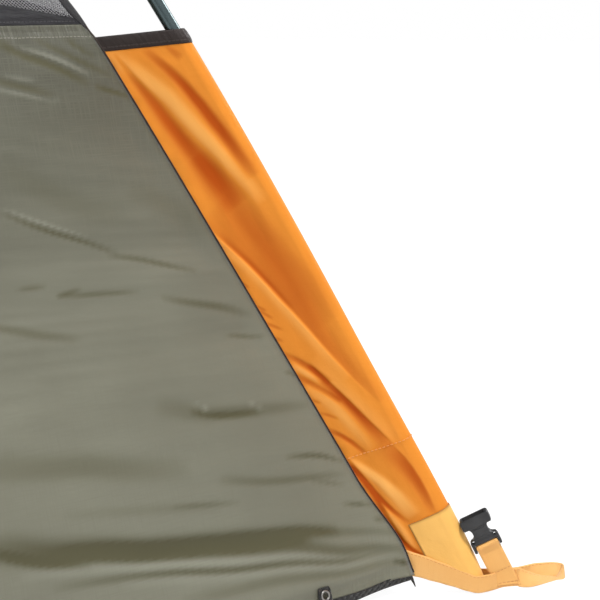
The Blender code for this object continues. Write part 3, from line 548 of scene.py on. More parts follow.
# Folds near a foot: how strong, which sets both how deep each sinks and how dark its painted shade is, then
# in millimetres how far each fades above its line at either end, the same below it, and its points: distance
# from the middle of the front and height. Below 0 it is a ridge, with a painted highlight.
WALL_CREASES = (
    (0.5, 6, 6, (640, 150), (790, 118)), (0.5, 5, 5, (560, 96), (760, 70)),
    (0.4, 7, 7, (600, 260), (860, 205)), (0.45, 6, 6, (640, 330), (850, 290)),
    (0.5, 5, 5, (700, 410), (880, 372)), (0.8, 9, 10, (520, 132), (640, 124), (760, 112), (830, 104)),
    (1.25, 2.6, 3, (915, 450), (935, 437), (960, 428), (995, 413)),
    (0.9, 2, 2.3, (948, 449), (968, 439), (1020, 418)), (0.9, 2, 2, (980, 448), (993, 440), (1005, 433)),
    (0.75, 3, 3, (905, 424), (930, 415), (960, 404)),
    (1.25, 1.8, 1.8, (1000, 412), (1015, 408), (1031, 403)),
    (-0.5, 2, 2, (935, 442), (965, 432), (996, 420)), (-0.4, 2, 2, (910, 415), (932, 409), (963, 401)),
    (-0.3, 2.2, 2.2, (914, 422), (945, 417)),
    (0.9, 1.8, 1.8, (902, 326), (935, 311), (965, 303), (995, 289)),
    (-0.45, 1.5, 1.5, (906, 328), (935, 315), (970, 304)),
    (0.75, 2, 2.3, (985, 289), (1025, 280), (1060, 269)), (0.6, 1.8, 1.8, (905, 273), (925, 272)),
    (0.6, 1.8, 1.8, (930, 264), (954, 268)), (0.7, 1.8, 1.8, (932, 264), (965, 263), (1000, 258)),
    (0.25, 9, 9, (905, 357), (960, 330), (1007, 315)), (0.25, 8, 8, (1012, 333), (1046, 319), (1082, 296)),
    (1.25, (9, 6), (9, 4), (813, 109), (905, 90), (972, 78), (1072, 65), (1140, 60)),
    (0.55, (6, 9), (6, 9), (890, 92), (972, 78), (1060, 67), (1110, 62)),
    (0.6, 3, (5, 3), (1030, 78), (1110, 66), (1190, 49)),
    (0.75, (7, 3), (5, 3), (1017, 71), (1100, 54), (1198, 32)),
    (0.7, 2.6, (4, 2.4), (827, 105), (860, 95), (913, 78)),
    (-0.5, (3.5, 2), (3.5, 2), (854, 86), (950, 71), (1040, 57), (1132, 43)),
    (0.85, (3, 2), (3, 1.8), (882, 71), (960, 65), (1050, 49), (1176, 33)),
    (-0.3, (3.6, 2), (3.6, 2), (930, 63), (1050, 45), (1171, 29)),
    (0.5, (4.4, 2.2), (4.4, 2.2), (977, 42), (1080, 35), (1194, 22)), (0.9, 2, 2, (1175, 26), (1198, 21)),
    (0.6, (3.7, 2.2), (3.7, 1.8), (1030, 116), (1090, 106), (1156, 100)),
    (0.45, 1.8, 1.8, (1121, 101), (1154, 92)), (0.85, 1.8, 1.8, (1100, 122), (1130, 118), (1156, 111)),
    (0.7, 1.8, 1.8, (1151, 78), (1173, 74)), (0.6, 1.8, 1.8, (1170, 64), (1181, 61)),
    (0.5, (10, 8), 8, (810, 158), (900, 149), (1010, 127)), (0.45, 1.8, 1.8, (985, 105), (1045, 97)),
    (0.25, 3.4, 3.4, (894, 116), (960, 108), (1029, 97)),
    (0.55, (6, 3), (6.7, 3.7), (993, 177), (1050, 162), (1133, 157)),
    (0.7, 2.2, 2.6, (1022, 170), (1053, 161), (1088, 158)), (-0.6, 1.5, 1.5, (1029, 176), (1043, 164)),
    (-0.5, 1.5, 1.5, (1077, 167), (1091, 158)), (0.6, 3.2, 3.2, (856, 255), (900, 242), (940, 231)),
    (0.75, 2.7, 2.7, (1017, 253), (1060, 243), (1098, 231)), (0.6, 1.8, 1.8, (1076, 218), (1107, 214)),
    (0.75, 1.8, 1.8, (1114, 185), (1126, 180)),
)


def folds(x, z, lines):
    """Cloth folded along lines: the painted tone of each place, from -1 for a painted highlight on a ridge to
    1 for a painted shade in a fold, and how deep the cloth sinks there, in metres. A line is its tone, its
    reach above and below, and its points."""
    tone, depth = np.zeros(len(x)), np.zeros(len(x))
    for strength, above, below, *points in lines:
        points = np.array(points) / 1000
        eased = (points[:-1, None] * ((3,), (1,)) + points[1:, None] * ((1,), (3,))).reshape(-1, 2) / 4
        points = np.concatenate((points[:1], eased[1:-1], points[-1:]))
        marks = lengths_along(points)
        nearest = np.full(len(x), np.inf)
        side, along = np.zeros(len(x)), np.zeros(len(x))
        for start, end, before in zip(points[:-1], points[1:], marks):
            span = end - start
            long = math.hypot(*span)
            share = np.clip(((x - start[0]) * span[0] + (z - start[1]) * span[1]) / long ** 2, 0, 1)
            off_x, off_z = x - start[0] - share * span[0], z - start[1] - share * span[1]
            gap = np.hypot(off_x, off_z)
            nearer = gap < nearest
            nearest = np.where(nearer, gap, nearest)
            side = np.where(nearer, off_z * span[0] - off_x * span[1], side)
            along = np.where(nearer, (before + share * long) / marks[-1], along)
        up, down = (np.interp(along, np.linspace(0, 1, np.size(reach)), np.atleast_1d(reach)) / 1000
                    for reach in (above, below))
        fall = np.exp(-np.minimum((0.92 * nearest / np.where(side > 0, up, down)) ** 2.8, 30))
        here = strength * fall * np.sin(math.pi * np.clip(along, 0, 1)) ** 0.5
        tone += here
        depth += here * (0.0003 + 0.07 * (up + down))
    return np.clip(tone, -1, 1), depth


def wall_relief(side, share, across, height):
    """How far the wall stands out from its plain panel, and the painted shade and highlight of its folds."""
    front = side == "front"
    from_corner = 1 - np.abs(share)
    middle = np.sin(math.pi * np.clip((height - HEM_HEIGHT) / (WALL_TOP - HEM_HEIGHT), 0, 1))
    grows = (0.5, 0.75) if front else (0.1, 0.5)
    level = (length_at(height) - WALL_LOW) / (WALL_HIGH - WALL_LOW)
    wave = np.sin(math.pi * WALL_FOLDS * level - WALL_FOLD_SLANT * np.abs(share) + WALL_FOLD_START)
    main = WALL_FOLD_HEIGHT * middle * smooth(from_corner, 0, WALL_FOLD_FADE)
    main = main * smooth(1 - from_corner, *grows) * wave
    half = FLOOR_HALF_LENGTH if side in LONG_SIDES else FLOOR_HALF_DEPTH
    x = np.abs(across) + FLOOR_HALF_LENGTH - half
    seed = {"front": 0, "rear": 20, "left": 40, "right": 60}[side] + 5 * (across > 0).any()
    bend = 1.0 if front else 2.5
    x_bent = x + 0.003 * bend * ripple(x * 9, height * 9, seed + 1) * np.where(across < 0, 2.0, 1.0)
    z_bent = height + 0.0008 * bend * ripple(x * 14, height * 14, seed + 2) * np.where(across < 0, 3.0, 1.0)
    tone, depth = folds(x_bent, z_bent, WALL_CREASES)
    slanted = height + x * (0.05 + 0.32 * smooth(height, 0.15, 0.40))
    soft = WALL_SWELL * ripple(x * 2.4, slanted * 8, seed + 3) \
        + WALL_RIPPLES * ripple(x * 7, slanted * 34, seed + 4)
    edges = smooth(half * from_corner, 0.002, 0.02) * smooth(height - HEM_HEIGHT, 0, 0.012)
    edges = edges * smooth(WALL_TOP - height, 0, 0.012)
    if front:
        from_door = np.maximum(np.abs(across) - door_edge(height, ZIP_TAPE_WIDTH), DOOR_SILL - height)
        edges = edges * smooth(from_door, 0.0, 0.03)
    from_hem = height - (WALL_TOP - HEM_FOLD)
    hem = HEM_STEP * smooth(from_hem, -0.0008, 0.0004)
    pucker = HEM_PUCKER * ripple(x * 55, height * 20, seed + 6) * np.exp(-(from_hem / 0.008) ** 2)
    relief = main + (soft - depth) * edges + hem + pucker * smooth(half * from_corner, 0.0, 0.02)
    return relief, tone * (1.0 if front else 0.6)


def lift_left(height):
    """How much of a corner's lift is left at a height."""
    return 1 - smooth(height - HEM_HEIGHT, 0.0, LIFT_FADE)


def seam_lap(height):
    """How far out and aside a wall's edge laps over the sleeve: all the way up, and further near the foot."""
    edge = 1 - smooth(height, WALL_TOP - 0.018, WALL_TOP)
    foot = np.sin(math.pi * np.clip((height - 0.0123) / 0.085, 0, 1) ** 0.8) ** 2
    foot_aside = FOOT_LAP[1] * smooth(0.13 - height, 0.0, 0.11)
    return (EDGE_LAP[0] * edge, EDGE_LAP[1] * edge), (FOOT_LAP[0] * foot, foot_aside)


def door_edge(height, grow):
    """Half the width of the door's arch at a height, grown by a margin."""
    share = np.clip((height - DOOR_SILL) / (DOOR_TOP - DOOR_SILL + grow), 0, 1)
    return (DOOR_HALF_WIDTH + grow) * (1 - share ** (2 / DOOR_ROUNDNESS)) ** (DOOR_ROUNDNESS / 2)


def wall_shape(side):
    def shape(u, v, inward):
        length = np.interp(v, (-1, SILL_SHARE, 1), (WALL_LOW, WALL_SILL, WALL_HIGH))
        height = height_at(length)
        half = side_half(side, height)
        if side == "front":
            inner = door_edge(height, ZIP_TAPE_WIDTH) / half
            outer = (np.abs(u) - INNER_SHARE) / (1 - INNER_SHARE)
            outer = np.interp(outer, (-9, 0, 0.2, 1), (-22.5, 0, 0.5, 1))
            share = np.where(outer < 0, np.abs(u) / INNER_SHARE * inner, inner + (1 - inner) * outer)
        else:
            share = np.abs(u) + 0.45 * np.abs(u) * (1 - np.abs(u))
        share = np.clip(share, 0, 1) * np.sign(u)
        relief, tone = wall_relief(side, share, share * half, height)
        points, across = panel(side, share, length, inward - relief)
        from_corner = (1 - np.abs(share)) * half
        (edge_out, edge_aside), (foot_out, foot_aside) = seam_lap(height)
        near, far = (smooth(reach - from_corner, 0.0, reach) for reach in (0.02, 0.035))
        lifted = corner_lift(from_corner, WALL_LIFT_REACH) * lift_left(height)
        points[:, 2] += HEM_LIFT * lifted
        if side in LONG_SIDES:
            corner, turned = (np.sign(share), -1 if side == "front" else 1), 1
        else:
            corner, turned = (-1 if side == "left" else 1, np.sign(share)), -1
        points += at_corner(corner, near * edge_out + far * foot_out, 0.0,
                            turned * (near * edge_aside + far * foot_aside))
        return points, np.stack((across, length), axis=1), tone
    return shape


# Painted shade and highlight: the walls' fold tones darken the cloth in its folds and lighten it on its
# ridges.
olive = fabric("olive nylon", tint(125, 125, 109), tint(110, 109, 94), wrinkle=0.0010, wrinkle_size=(14, 40),
               turn=-0.3, rows=(WALL_HIGH - HEM_STITCHES,), thread=tint(122, 120, 107),
               puckers=((WALL_HIGH - 0.006, 0.011, 0.0026), (WALL_LOW + 0.003, 0.009, 0.0008)),
               # Painted shade: the walls darken towards the top, from 0.2 m up the seam to the band.
               painted_top_shade=(WALL_LOW + 0.20, WALL_HIGH, tint(168, 167, 165)),
               painted_shade_and_highlight=(tint(76, 73, 49), tint(146, 147, 132)))
for side in SIDES:
    grid = (215, 240) if side == "front" else (100, 190)
    hole = (lambda u, v: abs(u) < INNER_SHARE and v > SILL_SHARE) if side == "front" else None
    wall = cloth(f"{side}_wall_cloth", *grid, wall_shape(side), olive, WALL_CLOTH, hole)
    width, tall = 2 * side_half(side, HEM_HEIGHT), WALL_HIGH - WALL_LOW
    area = (width / 2 + side_half(side, WALL_TOP)) * tall
    if side == "front":
        area -= 2 * (DOOR_HALF_WIDTH + ZIP_TAPE_WIDTH) * (WALL_HIGH - WALL_SILL)
    finish_cloth(wall, [f"{side}_wall"], "root", "olive_cloth")

# Hem tape and ground tabs. A woven black tape covers the seam between walls and groundsheet. Near each
# corner of the front and rear it holds a small tab with a metal eyelet, and its trimmed end hangs down.
HEM_TAPE_LOW = 0.0028
HEM_TAPE_CLOTH = 0.0009
HEM_TAPE_PROUD = 0.0013
HEM_TAPE_PAST_CORNER = 0.0012
HEM_TAPE_UNDER_HEM = 0.0016
EYELET_FROM_CORNER = 0.094
EYELET_RADIUS = 0.0036
EYELET_WIRE = 0.0009
EYELET_HEIGHT = 0.0182
EYELET_HOLE = 0.0030
TAB_HALF = 0.0064
TAB_LEAN = 0.30
TAB_PROUD = 0.0030
TAPE_END_PLACES = 8


def hem_shape(side):
    sign = -1 if side in ("front", "left") else 1
    long, deep = (TRAY_LENGTH, TRAY_DEPTH) if side in LONG_SIDES else (TRAY_DEPTH, TRAY_LENGTH)

    def shape(u, v, inward):
        run = u * (long / 2 + HEM_TAPE_PAST_CORNER - inward)
        from_end = long / 2 - np.abs(run)
        low = HEM_TAPE_LOW + FLOOR_LIFT * corner_lift(from_end)
        high = HEM_HEIGHT - HEM_TAPE_UNDER_HEM + HEM_LIFT * corner_lift(from_end, WALL_LIFT_REACH)
        height = low + (high - low) * (v + 1) / 2
        wave = 0.0004 * ripple(run * 20, height * 30, 140) * (1 - v) * smooth(1 - np.abs(u), 0, 0.02)
        reach = sign * (deep / 2 + HEM_TAPE_PROUD + 0.0006 * (v + 1) + wave - inward)
        parts = (run, reach, height) if side in LONG_SIDES else (reach, run, height)
        return np.stack(parts, axis=1), np.stack((run, height), axis=1)
    return shape


for side in SIDES:
    tape = cloth(f"{side}_hem_tape", 240, 6, hem_shape(side), hem_tape, HEM_TAPE_CLOTH)
    long = TRAY_LENGTH if side in LONG_SIDES else TRAY_DEPTH
    flat = (long, HEM_HEIGHT + 0.0006 - HEM_TAPE_LOW)
    finish_cloth(tape, [], "root", "groundsheet")


def place_body(body, name, finish, turn=None, smooth_under=None):
    """Makes a bmesh into a piece, turned to its place, with edges sharper than an angle kept crisp."""
    if turn is not None:
        bmesh.ops.transform(body, matrix=turn, verts=body.verts[:])
    bmesh.ops.recalc_face_normals(body, faces=body.faces[:])
    if body.calc_volume(signed=True) < 0:
        bmesh.ops.reverse_faces(body, faces=body.faces[:])
    if smooth_under:
        for face in body.faces:
            face.smooth = True
        for edge in body.edges:
            edge.smooth = len(edge.link_faces) == 2 and edge.calc_face_angle(0.0) < smooth_under
    mesh = bpy.data.meshes.new(name)
    body.to_mesh(mesh)
    body.free()
    return place_piece(mesh, name, finish)


def front_or_rear(corner):
    return "front" if corner[1] < 0 else "rear"


steel, tree, shader = material("dull steel")
patches = noise(tree, wire(tree, "TexCoord").outputs["Object"], 500)
set_inputs(tree, shader, {"Base Color": blend(tree, patches, tint(120, 118, 114), tint(160, 158, 154)),
                          "Metallic": 1.0, "Roughness": 0.42})
for name, corner in CORNERS.items():
    x, y = corner[0] * (FLOOR_HALF_LENGTH - EYELET_FROM_CORNER), corner[1] * (TRAY_DEPTH / 2 + TAB_PROUD)
    body = bmesh.new()
    bmesh.ops.create_circle(body, segments=12, radius=EYELET_WIRE)
    bmesh.ops.translate(body, vec=(EYELET_RADIUS, 0, 0), verts=body.verts[:])
    bmesh.ops.spin(body, geom=body.edges[:], cent=(0, 0, 0), axis=(0, 1, 0), dvec=(0, 0, 0), angle=math.tau,
                   steps=28, use_merge=True)
    turn = Matrix.Translation((x, y, EYELET_HEIGHT)) @ Matrix.Rotation(corner[1] * TAB_LEAN, 4, "X")
    eyelet = place_body(body, f"eyelet_{name}", steel, turn, math.pi)
    finish_piece(eyelet, "root", "pole_alloy")

    def tab_shape(u, v, inward):
        along, up = u * TAB_HALF * (1 - 0.22 * np.clip(v, 0, 1) ** 3), v * TAB_HALF
        reach = y - corner[1] * (math.sin(TAB_LEAN) * up + inward)
        parts = (x + along, reach, EYELET_HEIGHT + math.cos(TAB_LEAN) * up)
        return np.stack(parts, axis=1), np.stack((along, up), axis=1)

    def tab_hole(u, v):
        return math.hypot(u, v) * TAB_HALF < EYELET_HOLE

    tab = cloth(f"eyelet_tab_{name}", 20, 20, tab_shape, hem_tape, HEM_TAPE_CLOTH, tab_hole)
    finish_cloth(tab, [], "root", "groundsheet")
    start = np.array((corner[0] * (TRAY_LENGTH / 2 - 0.003), corner[1] * (TRAY_DEPTH / 2 + 0.0022), 0.0150))
    along = np.linspace(0, 1, TAPE_END_PLACES)
    fall = np.stack((corner[0] * along * 0.006, corner[1] * along * 0.002, -0.0115 * along ** 1.3), axis=1)
    thinning = np.linspace(0.0024, 0.0004, TAPE_END_PLACES)
    tail = tube(f"hem_tape_end_{name}", start + fall, thinning, hem_tape, 1)
    finish_piece(tail, "root", "groundsheet")

# Charcoal bands. A strip of plain dark nylon is sewn over each wall. Its upper edge arches from corner to
# corner, and at the front the door parts it in two.
BAND_CORNER_HEIGHT = 0.0045
BAND_ARCH_HEIGHT = 0.115
BAND_CLOTH = 0.0006
BAND_AREA_SHARE = 0.66
FRONT_BAND_AREA = 0.030
BAND_STITCHES = 0.003
BAND_WAVES, BAND_RIPPLES = 0.0012, 0.0006
BAND_LOW = WALL_HIGH + SEAM_CLEARANCE


def band_top(share):
    return length_at(WALL_TOP + BAND_CORNER_HEIGHT) + BAND_ARCH_HEIGHT * (1 - share ** 2)


def band_relief(across, length, seed):
    low, high = length - BAND_LOW, band_top(0.0) - length
    waves, creases = ripple(across * 5, length * 22, seed), ripple(across * 11, length * 60, seed + 1)
    relief = BAND_WAVES * waves + BAND_RIPPLES * creases
    return relief * smooth(low, 0.0, 0.02) * smooth(high, 0.0, 0.03)


def band_shape(side, low, high, seed):
    def shape(u, v, inward):
        share = low + (high - low) * (u + 1) / 2
        for _ in range(4):
            length = BAND_LOW + (band_top(share) - SEAM_CLEARANCE - BAND_LOW) * (v + 1) / 2
            if side == "front":
                height = height_at(length)
                edge = door_edge(height, ZIP_TAPE_WIDTH) / side_half(side, height)
                share = np.sign(low + high) * (edge + (1 - edge) * (u * np.sign(low + high) + 1) / 2)
        half = side_half(side, height_at(length))
        edge_of_band = smooth(band_top(share) - length, 0.0, 0.012) * smooth(length - BAND_LOW, 0.0, 0.012)
        relief = band_relief(share * half, length, seed) * edge_of_band * smooth(1 - np.abs(share), 0.0, 0.02)
        points, across = panel(side, share, length, inward - relief)
        return points, np.stack((across, length), axis=1)
    return shape


charcoal = fabric("charcoal nylon", tint(36, 34, 38), tint(16, 15, 19), wrinkle=0.0060, wrinkle_size=(16, 52),
                  sheen=0.12, rows=(BAND_LOW + BAND_STITCHES,), thread=tint(52, 49, 52))
for name, side, low, high in (("front_band_left", "front", -1, 0), ("front_band_right", "front", 0, 1),
                              ("rear_band", "rear", -1, 1), ("left_band", "left", -1, 1),
                              ("right_band", "right", -1, 1)):
    columns = 110 if side == "front" else 200
    band = cloth(name + "_cloth", columns, 26, band_shape(side, low, high, len(name)), charcoal, BAND_CLOTH)
    width = float(side_half(side, WALL_TOP)) * (high - low)
    area = width * BAND_ARCH_HEIGHT * BAND_AREA_SHARE
    if side == "front":
        width -= DOOR_HALF_WIDTH + ZIP_TAPE_WIDTH
        area = FRONT_BAND_AREA
    finish_cloth(band, [name], "root", "charcoal_cloth")

# Mesh canopy. Four panels of fine grey netting rise from the bands to the crown. A dark tape is folded over
# and sewn along each corner seam, and a patch of charcoal cloth is sewn in at the crown.
CROWN_PATCH_REACH = 0.13
NET_CLOTH = 0.0005
NET_PITCH = 0.0029
NET_OPEN = 0.42
CANOPY_WAVES = 0.0016
CANOPY_HIGH = float(np.interp(-CROWN_PATCH_REACH, -SEAM[:, 0], SEAM_LENGTH)) - SEAM_CLEARANCE
SEAM_TAPE_WIDTH = 0.0070
SEAM_TAPE_CLOTH = 0.0007
SEAM_TAPE_LIFT = 0.0008
SEAM_TAPE_FOOT_WIDTH = 0.0026
SEAM_TAPE_LOW = float(length_at(0.447))


def net(name, colour, shade, pitch, cover):
    """Netting: crossed threads with open holes between them."""
    made, tree, shader = material(name)
    weave = wire(tree, "UVMap", uv_map="weave").outputs[0]
    along, across, _ = wire(tree, "SeparateXYZ", {0: weave}).outputs
    slants = (maths(tree, kind, along, across) for kind in ("ADD", "SUBTRACT"))
    waves = (maths(tree, "SINE", maths(tree, "MULTIPLY", slant, math.pi / pitch)) for slant in slants)
    thread = maths(tree, "MINIMUM", *(maths(tree, "ABSOLUTE", wave) for wave in waves))
    tone = noise(tree, weave, 9, detail=4)
    set_inputs(tree, shader, {
        "Base Color": blend(tree, ranged(tree, tone, 0.3, 0.7), shade, colour),
        "Roughness": 0.6, "Sheen Weight": 0.3,
        "Alpha": ranged(tree, thread, cover - 0.1, cover + 0.1, 1.0, 0.0),
        "Normal": bump(tree, maths(tree, "SUBTRACT", 1.0, thread), 0.0003)})
    return made


def canopy_shape(side, seed):
    def shape(u, v, inward):
        share = u
        low = band_top(share)
        length = low + (CANOPY_HIGH - low) * (v + 1) / 2
        if side == "front":
            height = 0.57
            for _ in range(30):
                foot = door_edge(height, ZIP_TAPE_WIDTH) / side_half(side, height)
                height = float(height_at(band_top(foot)))
            tall = DOOR_TOP - DOOR_SILL + ZIP_TAPE_WIDTH
            first = math.asin(((height - DOOR_SILL) / tall) ** (1 / DOOR_ROUNDNESS))
            turn = math.pi / 2 + np.abs(u) * (first - math.pi / 2)
            arch_height = DOOR_SILL + tall * np.sin(turn) ** DOOR_ROUNDNESS
            arch_share = (DOOR_HALF_WIDTH + ZIP_TAPE_WIDTH) * np.clip(np.cos(turn), 0, 1) ** DOOR_ROUNDNESS \
                / side_half(side, arch_height)
            rim_share = np.interp(np.abs(u), (0, 0.3, 1), (0, 1, 1))
            rim_length = np.interp(np.abs(u), (0, 0.3, 1), (CANOPY_HIGH, CANOPY_HIGH, float(band_top(1.0))))
            out = (v + 1) / 2
            share = arch_share + (rim_share - arch_share) * out
            length = length_at(arch_height) + (rim_length - length_at(arch_height)) * out
            straight = band_top(foot) + (band_top(1.0) - band_top(foot)) * out
            length = length + np.abs(u) ** 10 * (band_top(share) - straight)
            share = share * np.sign(u)
        half = side_half(side, height_at(length))
        edges = smooth(1 - np.abs(share), 0.0, 0.12) * smooth(length - band_top(share), 0.0, 0.06)
        edges = edges * smooth(CANOPY_HIGH - length, 0.0, 0.06)
        relief = CANOPY_WAVES * ripple(share * half * 3, length * 3, seed) * edges
        points, across = panel(side, share, length, inward - relief)
        return points, np.stack((across, length), axis=1)
    return shape


netting = net("grey netting", tint(166, 165, 167), tint(136, 135, 138), NET_PITCH, NET_OPEN)
for index, side in enumerate(SIDES):
    canopy = cloth(f"{side}_canopy_net", 96, 40, canopy_shape(side, index + 70), netting, NET_CLOTH)
    width = 2 * float(side_half(side, height_at(band_top(1.0))))
    finish_cloth(canopy, [f"{side}_canopy"], "root", "mesh_cloth")

dark_tape = fabric("dark seam tape", tint(40, 38, 40), tint(26, 24, 26), pitch=0.0012, relief=0.0002,
                   wrinkle=0.0008, wrinkle_size=(200, 120))


def seam_tape_shape(corner):
    sides = (front_or_rear(corner), "right" if corner[0] > 0 else "left")

    def shape(u, v, inward):
        length = SEAM_TAPE_LOW + (CANOPY_HIGH - SEAM_TAPE_LOW) * (v + 1) / 2
        grown = smooth(length - BAND_LOW, -0.004, 0.012)
        width = SEAM_TAPE_FOOT_WIDTH + (SEAM_TAPE_WIDTH - SEAM_TAPE_FOOT_WIDTH) * grown
        lift = SEAM_TAPE_LIFT * (1 - 0.3 * (2 * np.abs(u) - 1) ** 2) + SEAM_CLEARANCE * (np.abs(u) < 0.05)
        points = np.empty((len(u), 3))
        for side, sign, here in ((sides[0], corner[0], u <= 0), (sides[1], corner[1], u > 0)):
            half = side_half(side, height_at(length[here]))
            share = sign * (1 - np.abs(u[here]) * width[here] / half)
            points[here] = panel(side, share, length[here], inward[here] - lift[here])[0]
        return points, np.stack((u * SEAM_TAPE_WIDTH, length), axis=1)
    return shape


for name, corner in CORNERS.items():
    tape = cloth(f"corner_seam_tape_{name}", 8, 220, seam_tape_shape(corner), dark_tape, SEAM_TAPE_CLOTH)
    flat = (2 * SEAM_TAPE_WIDTH, CANOPY_HIGH - SEAM_TAPE_LOW)
    finish_cloth(tape, [], "root", "charcoal_cloth")


def crown_shape(u, v, inward):
    reach = np.maximum(np.abs(u), np.abs(v)) * CROWN_PATCH_REACH
    height = height_at(np.interp(-reach, -SEAM[:, 0], SEAM_LENGTH))
    x, y = u * CROWN_PATCH_REACH * ALONG, v * CROWN_PATCH_REACH * ACROSS
    height = height - inward + 0.0002 * ripple(x * 20, y * 20, 90)
    return np.stack((x, y, height), axis=1), np.stack((x, y), axis=1)


crown_cloth = cloth("crown_patch_cloth", 40, 40, crown_shape, charcoal, BAND_CLOTH)
finish_cloth(crown_cloth, ["crown_patch"], "root", "charcoal_cloth")

# Corner sleeves. A sleeve of orange nylon is sewn into each corner seam and folded round the foot of the
# pole. It hangs in soft folds between the two, and a row of stitches crosses it above the foot.
SLEEVE_LOOSENESS = 0.0009
SLEEVE_CLOTH = 0.0012
SLEEVE_SEAM_HALF = 0.0009
SEAM_TURNED_IN = 0.003
SLEEVE_BOTTOM = (0.0165, 0.0045)
SLEEVE_TOP = (0.4376, 0.4444)
SLEEVE_RADIUS = POLE_RADIUS + SLEEVE_LOOSENESS + SLEEVE_CLOTH
SLEEVE_THIN = 0.0006
SLEEVE_SLACK = 0.0024
SLEEVE_WEAVE_STRETCH = 1.15
ARC_SHARE = 0.26
CORD_HEIGHTS = (0.0140, 0.4575)
CORD_STEPS = 96
CORD_RADIUS = 0.0006
INNER_BINDING_IN = 0.0046
INNER_BINDING_RADIUS = 0.0026
STITCHES_AT = (0.1095, 0.1285)
STITCHED_SHARE = 0.94
STITCH_ROW_STEPS = 160
STITCH_STEP = 0.0034
# One stitch: shares of a step along the row, and how high the thread lies over the cloth there.
STITCH_SHAPE = ((0.0, -0.0009), (0.1, 0.0002), (0.3, 0.0004), (0.6, 0.0002), (0.75, -0.0009))
THREAD_RADIUS = 0.0004
# Folds of a sleeve, given as those of a wall are, but with distances out from the middle of the tent. Their
# strength sets painted shade in the folds and painted highlight on the ridges.
SLEEVE_CREASES = (
    (1.1, (3, 5), (3, 6.5), (1382, 440), (1405, 420), (1435, 388), (1467, 341)),
    (0.5, (1.6, 3.2), (1.6, 3.2), (1398, 443), (1411, 433)),
    (0.95, (1.2, 9), (1.2, 12), (1358, 436), (1380, 410), (1405, 376), (1456, 318)),
    (0.5, 10, 10, (1417, 354), (1450, 320), (1487, 279), (1527, 225)),
    (0.6, (24, 5), 1.2, (1426, 307), (1470, 263), (1507, 223), (1540, 186), (1569, 160)),
    (0.4, 3.2, 1.2, (1438, 295), (1470, 263), (1496, 234)),
    (-0.5, 1.2, (5, 6.4), (1428, 301), (1470, 262), (1507, 221), (1543, 181)),
    (-0.75, 6, 4.8, (1351, 437), (1390, 412), (1430, 371), (1473, 320)),
    (0.75, (1.6, 2.4), (2, 3.2), (1489, 199), (1508, 190), (1527, 176)),
    (1.05, 1.2, (3.2, 10.4), (1510, 191), (1532, 169), (1555, 148), (1577, 127)),
    (-0.3, 7.2, 1.2, (1510, 193), (1543, 161), (1580, 127)),
    (0.8, 2, 2.4, (1500, 181), (1516, 172), (1535, 159)), (-0.6, 2, 2.4, (1496, 190), (1520, 176)),
    (-0.55, 5.6, 5.6, (1508, 173), (1531, 155), (1564, 123)),
    (0.9, 1.8, 2, (1523, 136), (1541, 129), (1557, 116)), (0.5, 1.2, 1.2, (1512, 160), (1519, 157)),
    (0.6, 1.2, 1.2, (1518, 149), (1533, 145)), (0.5, 1.2, 1.2, (1455, 256), (1462, 251)),
    (0.5, 1.2, 1.2, (1467, 237), (1476, 233)), (0.5, 1.2, 1.2, (1470, 233), (1481, 227)),
    (0.55, 1.2, 1.2, (1474, 224), (1488, 218)), (0.4, 1.2, 1.2, (1482, 212), (1489, 208)),
    (0.9, 1.3, (12, 4), (1574, 128), (1590, 112), (1603, 91), (1612, 68)),
    (-1.0, (2.4, 6.4), (2.4, 5.6), (1542, 112), (1577, 86), (1595, 64)),
    (1.15, 1.8, (2.8, 1.4), (1540, 113), (1558, 89), (1575, 71), (1591, 58)),
    (-0.5, 2.4, 2.4, (1571, 69), (1584, 56), (1597, 36)),
    (1.1, 1.6, 1.8, (1579, 52), (1590, 39), (1603, 31)),
    (0.9, 1.5, 2.4, (1543, 109), (1564, 80), (1588, 40)),
)


def pole_arch(corner):
    return LOW_ARCH if corner[0] * corner[1] < 0 else HIGH_ARCH


def pole_at(corner, height):
    """How far out a corner's pole stands at a height, and its slope there."""
    return (np.interp(height, pole_arch(corner)[:, 1], pole_arch(corner)[:, column]) for column in (0, 2))


def sleeve_relief(corner, side, out, height, share):
    """How far the flank of a sleeve stands aside of its plain shape, at shares from the pole to the seam, and
    the painted shade and highlight of its folds."""
    seed = 100 + 10 * (corner[0] > 0) + 20 * (corner[1] > 0)
    main_side = corner == CORNERS["front_right"]
    bend = np.where(side > 0, 1.0 if main_side else 8.0, 11.0)
    out_bent = out + 0.0005 * bend * ripple(out * 14, height * 14, seed)
    height_bent = height + 0.0005 * bend * ripple(out * 14, height * 14, seed + 1)
    tone, depth = folds(out_bent, height_bent, SLEEVE_CREASES)
    down = out * 0.5 - height * 0.86
    over = out * 0.86 + height * 0.5
    soft = 0.0006 * ripple(down * 5, over * 24, seed + 2) + 0.0002 * ripple(down * 14, over * 60, seed + 3)
    puckers = 0.0006 * ripple(height * 70, over * 8, seed + 4) * np.exp(-((1 - share) / 0.12) ** 2)
    edges = smooth(share, 0.0, 0.20) * smooth(1 - share, 0.0, 0.10)
    edges = edges * smooth(SLEEVE_TOP[0] - height, 0.0, 0.012)
    return (soft - depth) * edges + puckers * smooth(1 - share, 0.0, 0.02), tone


